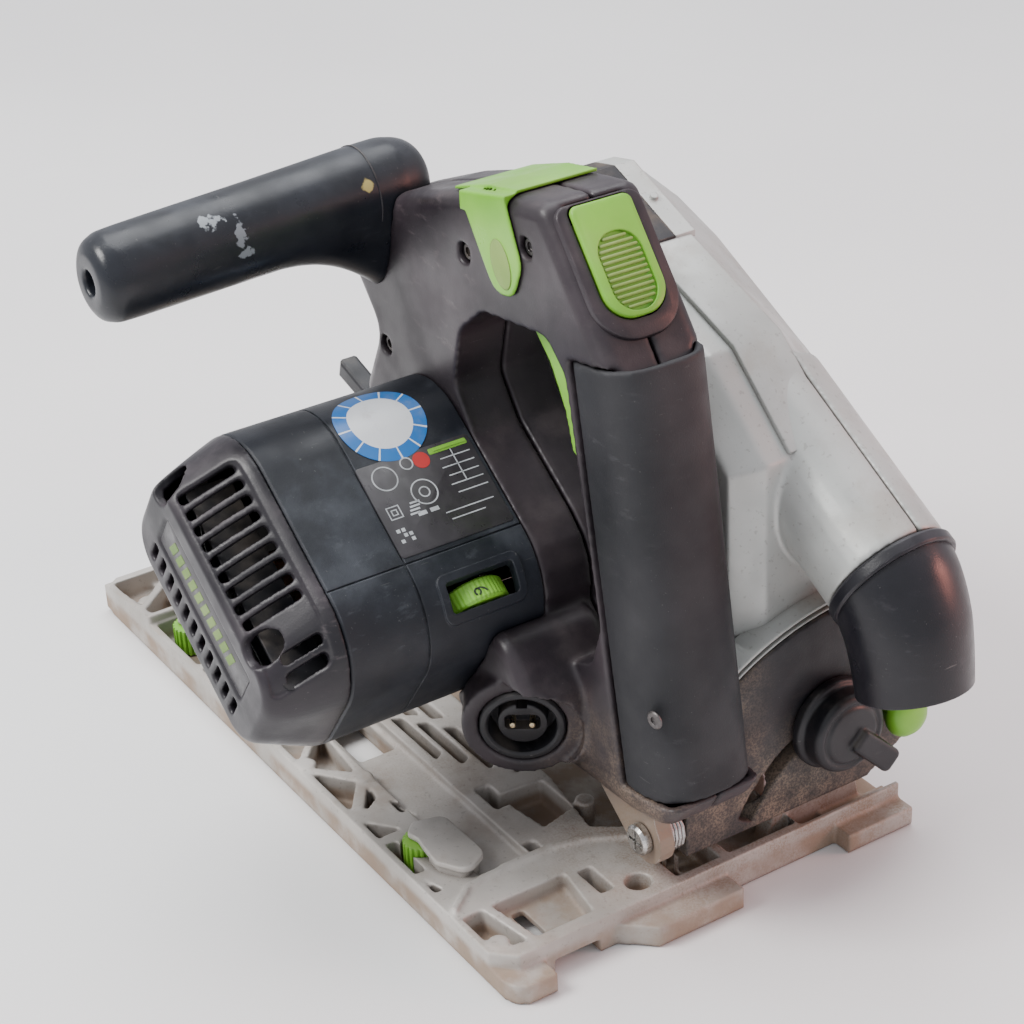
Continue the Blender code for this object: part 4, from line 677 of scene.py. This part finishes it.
def build_cap():
    """End cap: louvres on top, vents and a label recess on the end, two sunk screws."""
    rings = [section_ring(CAP_Y - 0.1, -0.8)]
    rings += [section_ring(y, da=da, dh=dh, radius=radius)
              for y, da, dh, radius in spline(CAP_STOPS, 6)]
    cap = loft("cap_shell", rings, CAP_LOOK)
    hollow = [section_ring(CAP_Y + 4, -3.2)]
    hollow += [section_ring(y + 1.6, -3.2, da=da, dh=dh, radius=radius)
               for y, da, dh, radius in CAP_STOPS[1:-1]]
    hollow.append(section_ring(END_Y + 3.4, -3.4, da=-10.5, dh=-21.5, radius=12.0))
    cut(cap, loft("hollow", hollow))
    basin = slab("basin", TOP, box_outline(-37.0, -134.6, 46.0, -113.8, 3.0), -26.0, 4.0)
    rim = [section_ring(y, -1.1, da=da, dh=dh, radius=radius) for y, da, dh, radius in CAP_STOPS]
    cut(cap, cut(basin, loft("floor", rim)))
    for a in LOUVRES:
        near = -128.5 if a > 33 else -133.8
        cut(cap, slab("louvre", TOP, box_outline(a - 2.1, near, a + 2.1, -114.6, 1.6), -25.0, 7.0))
    for k in range(11):
        a = -34.0 + 6.6 * k
        cut(cap, slab("vent", END, box_outline(a - 1.7, -16.5, a + 1.7, -7.5, 0.8), -8.0, 5.0))
    cut(cap, slab("recess", END, box_outline(-34.6, -3.6, 34.6, 13.6, 2.0), 0.0, 5.0))
    for a, h in CAP_SCREWS:
        cut(cap, lathe("bore", [(0, 0), (4.2, 0), (4.6, 7), (6.6, 14), (6.6, 20), (0, 20)],
                       unit(a, h, -118.0), -Y_AXIS))
        head = [(0, 0), (3.7, 0), (3.7, 2.0), (3.2, 2.8), (1.6, 2.8), (1.6, 1.2), (0, 1.2)]
        place(lathe("cap_screw_%d" % (1 if a < 0 else 2), head, unit(a, h, -119.0), -Y_AXIS,
                    STEEL_LOOK), "unit", "steel")
    soften(cap, 0.65, 2)
    place(cap, "unit", "motor_plastic", "end_cap")
    liner = slab("cap_liner", TOP, box_outline(-38.0, -130.0, 46.0, -112.0, 3.0), -21.5, -20.3,
                 BLACK_LOOK)
    place(liner, "unit", "black_plastic")


def build_end_label():
    """Dark panel with a row of plain slanted bars."""
    label = slab("end_panel", END, box_outline(-33.8, -2.8, 33.8, 12.8, 1.6), -0.9, 0.35,
                 DARK_FILM_LOOK, 0.2)
    place(label, "unit", "dark_film", "end_label")
    stripes = [slab("stripe", END, [(a - 2.0, 1.6), (a + 1.6, 1.6), (a + 3.4, 8.6), (a - 0.2, 8.6)],
                    0.25, 0.45, GREEN_DULL) for a in (-26.0 + 5.2 * k for k in range(10))]
    place(join("end_stripes", stripes), "unit", "green_plastic")


def build_sticker():
    """Film disc that follows the flat top and the rounded edge of the motor."""
    mid_a, mid_y, turns = -31.6, -58.0, 144

    def skin(a, y, lift):
        bend_at = -(SECTION_A - SECTION_R)
        if a >= bend_at:
            return unit(a, SECTION_H + lift, y)
        turn = (bend_at - a) / SECTION_R
        reach = SECTION_R + lift
        return unit(bend_at - reach * sin(turn), SECTION_H - SECTION_R + reach * cos(turn), y)

    def ring(radius, lift):
        return [skin(mid_a + radius * cos(2 * pi * k / turns), mid_y + radius * sin(2 * pi * k / turns),
                     lift) for k in range(turns)]

    radii = (1.5, 5.0, 9.0, 12.2, 16.9, 17.4)
    rings = [ring(r, 0.12) for r in radii] + [ring(r, 0.34) for r in reversed(radii)]
    film = loft("inspection_film", rings, STICKER_LOOK)
    film.data.materials.append(STICKER_BLUE)
    for face in film.data.polygons:
        reach = max((film.data.vertices[v].co - skin(mid_a, mid_y, 0.2) * MM).length
                    for v in face.vertices)
        tick = (face.index % turns) % 12 == 0
        if reach > 0.0145 and len(face.vertices) == 4 and not tick:
            face.material_index = 1 if 5 * turns <= face.index < 9 * turns else 0
    place(film, "unit", "label_film", "sticker")


MARK_LOW, MARK_HIGH = 0.2, 0.36


def mark(outline):
    """Thin printed shape on the top of the motor."""
    return slab("mark", TOP, outline, MARK_LOW, MARK_HIGH, INK_LOOK)


def frame_of(outline, hole):
    return cut(mark(outline), slab("core", TOP, hole, 0.0, 1.0))


def build_rating_plate():
    """Dark plate with a generic chart: no words, marks or numbers."""
    plate = slab("rating_plate", TOP, box_outline(-16.0, -77.0, 22.0, -30.0, 1.5), -0.3, 0.28,
                 DARK_FILM_LOOK, 0.15)
    place(plate, "unit", "dark_film")

    def line(u0, v0, u1, v1, width=0.45):
        return mark(ribbon([(u0, v0), (u1, v1)], width))

    def hoop(u, v, radius):
        return frame_of(circle(radius, 40, (u, v)), circle(radius - 0.5, 40, (u, v)))

    def square(u, v, half):
        return box_outline(u - half, v - half, u + half, v + half)

    marks = [line(-13 + 3.6 * k, -45.5 + 1.0 * (k % 2), -13 + 3.6 * k, -32.0) for k in range(6)]
    marks += [line(-13, -39.0, 1.4, -39.0), line(11, -53.0, 11, -33.0), line(14, -52.0, 14, -38.0)]
    marks += [hoop(-9, -68.0, 5.0), hoop(0.5, -56.5, 5.2), hoop(0.5, -56.5, 2.2),
              hoop(-12.0, -57.5, 2.6)]
    marks += [frame_of(square(4.5, -71.0, half), square(4.5, -71.0, half - 0.4))
              for half in (2.6, 1.2)]
    marks += [line(3.0 + 1.4 * k, -64.0 - 0.6 * k, 3.0 + 1.4 * k, -60.0 - 0.6 * k, 0.7)
              for k in range(4)]
    marks += [mark(square(11.7 + 2.1 * i, -73.3 + 2.1 * j, 0.7))
              for i in range(3) for j in range(3) if (i + 2 * j) % 3 != 1]
    marks += [line(8.0, -63.0 + 5.0 * k, 8.0, -59.5 + 5.0 * k, 1.6) for k in range(2)]
    place(join("plate_marks", marks), "unit", "label_film")
    dot = slab("plate_dot", TOP, circle(3.3, 40, (-11.5, -51.5)), 0.2, 0.38, RED_LOOK)
    place(dot, "unit", "label_film")
    bar = slab("plate_bar", TOP, box_outline(-14.6, -47.5, -12.2, -31.5, 0.6), 0.2, 0.36, GREEN_LOOK)
    place(bar, "unit", "green_plastic")


def build_dial():
    """Fluted thumb wheel with one numeral on its rim."""
    centre, radius, width, flute, edge = unit(*DIAL_AT), 13.0, 8.4, 0.28, 0.9
    wheel_plane = Plane(centre, Y_AXIS, H_AXIS)
    points = 44 * 4
    rim = []
    for k in range(points):
        reach = radius - flute + flute * abs(sin(pi * k / 4.0))
        turn = 2 * pi * k / points
        rim.append((reach * cos(turn), reach * sin(turn)))
    levels = ((-width / 2, edge), (-width / 2 + edge, 0.0), (width / 2 - edge, 0.0),
              (width / 2, edge))
    wheel = loft("dial_wheel", [wheel_plane.ring(inset(rim, d), n) for n, d in levels], GREEN_LOOK)
    place(wheel, "dial", "green_plastic", "speed_dial")
    lean = radians(6)
    out = H_AXIS * cos(lean) - Y_AXIS * sin(lean)
    along = H_AXIS * sin(lean) + Y_AXIS * cos(lean)
    face = Plane(centre + out * (radius - 0.25), A_AXIS, along)
    bowl = [(1.0 + 1.25 * cos(2 * pi * k / 24), -1.2 + 1.1 * sin(2 * pi * k / 24)) for k in range(23)]
    stem = [(-0.1, -1.6), (-0.2, 0.2), (0.5, 1.6), (1.8, 2.4)]
    strokes = [slab("stroke", face, ribbon(run, 0.55), -0.1, 0.32, INK_DARK) for run in (bowl, stem)]
    place(join("dial_numeral", strokes), "dial", "black_plastic")


# ---------------------------------------------------------------- handles

def build_bar():
    """Front handle with a flared root that runs down into the arch."""
    stops = ((0.0, 9.5), (0.015, 12.6), (0.04, 15.2), (0.08, 17.0), (0.15, 17.9), (0.5, 17.2),
             (0.9, 16.6), (0.96, 15.6), (0.985, 13.8), (1.0, 10.0))
    rings = []
    for share, radius in spline(stops, 4):
        centre = HANDLE_TOP.lerp(HANDLE_END, share)
        rings.append([centre + Vector((u, 0.0, v)) for u, v in circle(radius, 64)])
    bar = loft("handle_bar", rings, BAR_LOOK)
    root = []
    for k in range(17):
        y = -84.0 + 56.6 * k / 16
        flare = (k / 16) ** 2.6
        centre = HANDLE_TOP.lerp(HANDLE_END, (HANDLE_TOP.y - y) / 140.0)
        root.append([Vector((centre.x + (17.0 + 0.6 * flare) * u, y,
                             centre.z + (16.9 if v > 0 else 16.9 + 21.0 * flare) * v))
                     for u, v in circle(1.0, 64)])
    fuse(bar, loft("root", root))
    cut(bar, lathe("hole", [(0, -3), (4.6, -3), (4.6, 14), (0, 14)], HANDLE_END + Vector((0, 9, 0)),
                   -Y_AXIS))
    soften(bar, 0.9, 8)
    elbow = HANDLE_TOP.lerp(HANDLE_END, 0.19)
    seam = lathe("bar_seam", [(17.3, 0), (18.15, 0), (18.15, 0.5), (17.3, 0.5)], elbow, -Y_AXIS,
                 BLACK_LOOK, 96)
    place(seam, "unit", "motor_plastic")
    place(bar, "unit", "motor_plastic", "front_handle")


def grip_loops(outer, grow):
    """Rings at both ends of the grip, moved outwards and lengthened."""
    along = (GRIP_LOW - GRIP_TOP).normalized()
    back = Y_AXIS.cross(along)

    def loop(centre, half_y, half_x):
        shape = []
        for c, s in circle(1.0, 96):
            shape.append(centre + Y_AXIS * (half_y * abs(c) ** 0.7 * (1 if c > 0 else -1))
                         + back * (half_x * abs(s) ** 0.7 * (1 if s > 0 else -1)))
        return shape

    return [loop(GRIP_TOP - along * grow, 20.5 + outer, 19.5 + outer),
            loop(GRIP_LOW + along * grow, 20.5 + outer, 19.0 + outer)]


def build_grip():
    """Soft sleeve round the back of the rear handle."""
    along = (GRIP_LOW - GRIP_TOP).normalized()
    front = Y_AXIS.cross(along)
    pad = loft("grip_sleeve", grip_loops(0.0, 0.0), GRIP_LOOK)
    cut(pad, loft("core", grip_loops(-2.85, 5.0)))
    middle = (GRIP_TOP + GRIP_LOW) / 2 + front * 26.0
    cutter = Plane(middle, along, Y_AXIS)
    cut(pad, slab("front", cutter, box_outline(-100, -40, 100, 40), -30.0, 14.4))
    soften(pad, 0.9, 8)
    place(pad, "unit", "soft_grip", "grip_pad")
    socket = [(0, 0), (3.4, 0), (3.4, 0.5), (2.9, 0.9), (1.4, 0.9), (1.4, 0.2), (0, 0.2)]
    screw = lathe("grip_screw", socket, GRIP_SCREW_AT, (0.15, -1, 0), STEEL_DARK)
    place(screw, "unit", "steel")


def build_thumb_switch():
    """Slider with a dished, ribbed pad, in a dark surround."""
    plane = Plane(THUMB_A, THUMB_B - THUMB_A, Y_AXIS)

    def tongue(top, low, half, small, large):
        return rounded([(top, -half, small), (low, -half, large), (low, half, large),
                        (top, half, small)], 10)

    surround = slab("thumb_surround", plane, tongue(1.0, 51.0, 17.4, 5.0, 15.0), -2.0, 1.7,
                    ARCH_LOOK, 1.4)
    cut(surround, slab("hole", plane, tongue(1.9, 44.3, 12.9, 3.6, 10.6), -9.0, 9.0))
    place(surround, "unit", "handle_plastic")
    pad = slab("thumb_slider", plane, tongue(2.4, 43.8, 12.4, 3.2, 10.2), 2.0, 3.7,
               GREEN_LOOK, 1.5)
    fuse(pad, slab("stem", plane, tongue(7.0, 43.4, 12.0, 3.2, 9.8), -6.5, 2.6))
    cut(pad, slab("dish", plane, box_outline(14.0, -8.8, 42.0, 8.8, 8.2, 12), 2.3, 8.0))
    place(pad, "lock", "green_plastic", "thumb_switch")
    ribs, widest, middle = [], 8.2, 28.0
    for k in range(13):
        u = 16.0 + 2.0 * k
        past = max(widest - 13.6 + abs(u - middle), 0.0)
        half = (widest ** 2 - past ** 2) ** 0.5
        ribs.append(slab("rib", plane, box_outline(u - 0.55, -half, u + 0.55, half, 0.5, 4),
                         2.0, 3.5, RIB_LOOK, 0.45))
    place(join("thumb_ribs", ribs), "lock", "green_plastic")


def build_arch_screws():
    """Heads of the four screws that hold the handle shells together."""
    for k, (x, z) in enumerate(SCREW_SPOTS):
        head = [(0, 0), (3.4, 0), (3.4, 1.2), (2.8, 1.7), (1.7, 1.7), (1.7, 0.5), (0, 0.5)]
        screw = lathe("arch_head_%d" % (k + 1), head, (x, SHELL_L + 3.6, z), -Y_AXIS, STEEL_DARK)
        place(screw, "unit", "steel", "arch_screw_%d" % (k + 1))


def build_tongue_pad():
    """Oval pad pressed into the green tongue."""
    face = Plane(TONGUE_AT, (0.35, 0.0, -0.94), (0.94, 0.0, 0.35))
    oval = [(9.0 * u, 5.8 * v) for u, v in circle(1.0, 48)]
    place(slab("tongue_pad", face, oval, -0.2, 0.25, RIB_LOOK), "unit", "green_plastic")


def build_inlet():
    """Round appliance inlet with a keyed core and two bright pins."""
    rim = [(0, -14), (16, -14), (16, 0.4), (15.2, 1.4), (13.6, 1.6), (12.7, 0.8), (12.4, -9), (0, -9)]
    body = lathe("inlet_socket", rim, INLET_AT, INLET_AXIS, BLACK_LOOK, 64)
    side = Z_AXIS.cross(INLET_AXIS).normalized()
    face = Plane(INLET_AT, side, INLET_AXIS.cross(side))
    core = slab("core", face, circle(9.2, 56), -9.5, -0.6, None, 0.7)
    cut(core, slab("well", face, box_outline(-6.6, -2.8, 6.6, 4.2, 2.2), -6.0, 2.0))
    cut(core, slab("key", face, box_outline(-2.0, 7.2, 2.0, 12.0), -12.0, 2.0))
    fuse(body, core)
    place(body, "unit", "black_plastic", "appliance_inlet")
    pins = [lathe("pin", [(0, -7), (1.15, -7), (1.15, 0.4), (0.7, 0.9), (0, 0.9)],
                  INLET_AT + side * (3.6 * way), INLET_AXIS, BRASS_LOOK, 24) for way in (-1, 1)]
    place(join("inlet_pins", pins), "unit", "steel")


# ---------------------------------------------------------------- guard, port and knobs

def build_elbow():
    """Hollow dust elbow that turns down at the end of the duct, with its collar."""
    stops = ((181.0, 129.0, -30.0, 24.0), (187.0, 123.0, -46.0, 23.6), (192.3, 112.7, -62.0, 22.8),
             (195.3, 101.3, -70.0, 21.9), (197.2, 89.5, -74.0, 21.2))

    def hoop(x, z, lean, radius):
        along = Vector((cos(radians(lean)), 0, sin(radians(lean))))
        over = Y_AXIS.cross(along)
        centre = Vector((x, DUCT_B.y, z))
        return [centre + Y_AXIS * u + over * v for u, v in circle(radius, 72)]

    run = spline(stops, 6)
    skin = [hoop(*stop) for stop in run]
    bore = [hoop(x, z, lean, radius - 2.6) for x, z, lean, radius in reversed(run)]
    elbow = loft("dust_elbow", skin + bore, ELBOW_LOOK, closed=True)
    place(elbow, "port", "black_plastic", "dust_port")
    axis = (DUCT_B - DUCT_A).normalized()
    band = [(23.2, 0.4), (24.6, 0.4), (25.2, 1.2), (25.2, 4.6), (24.6, 5.4), (23.2, 5.4)]
    place(lathe("elbow_collar", band, DUCT_B, axis, ELBOW_LOOK, 96), "port", "black_plastic")


def build_knob(name, stands_for, body, x, way, turn):
    """Clamp knob: ringed round cap with a thick wing across it."""
    origin = Vector((x, KNOB_Y, KNOB_Z))
    face = Plane(origin, Y_AXIS * way, Z_AXIS)
    profile = [(0, 0), (17.6, 0), (18.4, 0.7), (18.4, 3.4), (17.8, 4.2), (16.6, 4.6), (16.2, 5.2),
               (16.2, 10.8), (15.4, 12.4), (13.6, 13.2), (12.8, 12.6), (12.0, 12.6), (11.0, 13.6),
               (0, 14.0)]
    knob = lathe(name, profile, origin, (way, 0, 0), BLACK_LOOK, 96)
    wing = rounded([(-4.6, 2, 1.5), (-5.0, 25.8, 2.5), (5.0, 25.8, 2.5), (4.6, 2, 1.5)], 6)
    placed = [((u * cos(turn) + v * sin(turn)) * way, -u * sin(turn) + v * cos(turn))
              for u, v in wing]
    fuse(knob, slab("wing", face, placed, 3.2, 16.8, None, 1.4))
    soften(knob, 0.45, 3)
    place(knob, body, "black_plastic", stands_for)


def build_cam_hoods():
    """Cast hood over each adjuster wheel, open towards the edge of the plate."""
    for k, (x, y) in enumerate(CAM_SPOTS):
        board = Plane((x, y, 0), (1, 0, 0), (0, 1, 0))
        outline = rounded([(-8.5, 0.5, 3.0), (-3.5, -4.5, 3.0), (2.0, -3.0, 3.0), (8.0, -4.0, 4.0),
                           (18.0, -5.0, 4.0), (30.0, 2.0, 5.0), (24.0, 13.0, 6.0),
                           (-5.0, 13.0, 5.0)], 6)
        hood = slab("cam_hood_%d" % (k + 1), board, outline, 17.6, 19.8, BASE_LOOK, 0.9)
        leg = slab("leg", board, rounded([(9.4, -3.5, 1.5), (18.0, -4.0, 2.0), (28.0, 2.0, 3.0),
                                          (22.5, 11.5, 3.0), (9.4, 11.5, 1.5)], 5), 9.0, 18.2)
        fuse(hood, leg)
        place(hood, "base", "cast_aluminium")


def build_guard_ribs():
    """Double rib along the mouth of the guard, above the rear bevel segment."""
    for k, (radius, wide) in enumerate(((107.6, 1.3), (104.9, 0.9))):
        run = [(70.0 - radius * cos(radians(a)), radius * sin(radians(a)))
               for a in (58 + 2.0 * i for i in range(24))]
        board = Plane((150.4, 0.0, 0.0), Y_AXIS, Z_AXIS)
        place(slab("mouth_rib_%d" % (k + 1), board, ribbon(run, wide), -6.0, 6.4, GUARD_LOOK, 0.4),
              "guard", "guard_paint")


def build_guard_band():
    """Raised band along the top of the guard, beside the seam of the cover."""
    run = [(30.0, 229.6), (65.0, 215.4), (116.0, 196.4), (148.0, 167.4)]
    board = Plane((0, 0, 0), (1, 0, 0), Z_AXIS)
    band = slab("guard_band", board, ribbon(run, 3.2), -65.2, -44.0, GUARD_LOOK, 0.7)
    place(band, "guard", "guard_paint")


def build_button():
    """Undercut button with a domed head on a narrower stem."""
    profile = [(0, 0), (5.4, 0), (5.4, 3.4), (6.9, 3.4), (6.9, 6.6), (8.8, 6.8), (9.2, 8.6),
               (8.6, 10.8), (6.8, 12.7), (3.8, 13.8), (0, 14.2)]
    cap = lathe("undercut_cap", profile, BUTTON_AT, (1, 0, 0), GREEN_LOOK, 64)
    place(cap, "undercut", "green_plastic", "undercut_button")


# ---------------------------------------------------------------- stage

def build_stage():
    """Pale matt floor just under the sole."""
    floor = bpy.data.meshes.new("floor")
    bm = bmesh.new()
    for x, y in ((-6, -6), (6, -6), (6, 6), (-6, 6)):
        bm.verts.new((x, y, -0.0004))
    bm.faces.new(bm.verts)
    bm.to_mesh(floor)
    bm.free()
    look = Look("floor_finish", 0.75)
    look.link("Base Color", look.mix(look.ramp(look.noise(3, 4), 0.3, 0.7), (0.76, 0.75, 0.75),
                                     (0.80, 0.795, 0.79)))
    look.link("Normal", look.bump(look.noise(400, 3), 0.08, 0.3))
    floor.materials.append(look.mat)
    obj = bpy.data.objects.new("floor", floor)
    bpy.context.scene.collection.objects.link(obj)


def add_area(name, spot, aim, size, power, colour):
    data = bpy.data.lights.new(name, "AREA")
    data.energy, data.color, data.size = power, colour, size
    lamp = bpy.data.objects.new(name, data)
    lamp.location = Vector(spot)
    lamp.rotation_euler = (Vector(aim) - Vector(spot)).to_track_quat("-Z", "Y").to_euler()
    bpy.context.scene.collection.objects.link(lamp)


CAMERA_AT = Vector((0.7287, -0.4318, 0.5639))
CAMERA_RIGHT = Vector((0.5474, 0.8359, -0.0414))
CAMERA_UP = Vector((-0.3872, 0.2968, 0.8729))
CAMERA_BACK = Vector((0.7419, -0.4618, 0.4861))
LENS = 85.12


def build_camera():
    data = bpy.data.cameras.new("camera")
    data.lens, data.sensor_width = LENS, 36.0
    data.clip_start, data.clip_end = 0.05, 50.0
    cam = bpy.data.objects.new("camera", data)
    turn = Matrix((CAMERA_RIGHT, CAMERA_UP, CAMERA_BACK)).transposed().to_4x4()
    cam.matrix_world = Matrix.Translation(CAMERA_AT) @ turn
    bpy.context.scene.collection.objects.link(cam)
    bpy.context.scene.camera = cam


def build_lights():
    world = bpy.data.worlds.new("world")
    world.use_nodes = True
    world.node_tree.nodes["Background"].inputs["Color"].default_value = (0.93, 0.94, 1.0, 1.0)
    world.node_tree.nodes["Background"].inputs["Strength"].default_value = 0.92
    bpy.context.scene.world = world
    aim = (0.02, -0.02, 0.10)
    add_area("key", (-0.35, -1.15, 1.45), aim, 0.8, 40.0, (1.0, 0.99, 0.97))
    add_area("top", (-0.5, 0.3, 1.6), aim, 1.2, 22.0, (0.96, 0.98, 1.0))
    add_area("glow", (0.75, 0.95, 0.45), aim, 0.4, 6.0, (1.0, 0.36, 0.28))


dress_cad()
build_motor_shell()
build_cap()
build_end_label()
build_sticker()
build_rating_plate()
build_dial()
build_bar()
build_grip()
build_thumb_switch()
build_arch_screws()
build_tongue_pad()
build_inlet()
build_elbow()
build_knob("rear_knob_cap", "rear_bevel_knob", "rear_knob", REAR_KNOB_X, 1.0, radians(135.0))
build_knob("front_knob_cap", "front_bevel_knob", "front_knob", FRONT_KNOB_X, -1.0, radians(-60.0))
build_cam_hoods()
build_guard_ribs()
build_guard_band()
build_button()
build_stage()
build_camera()
build_lights()
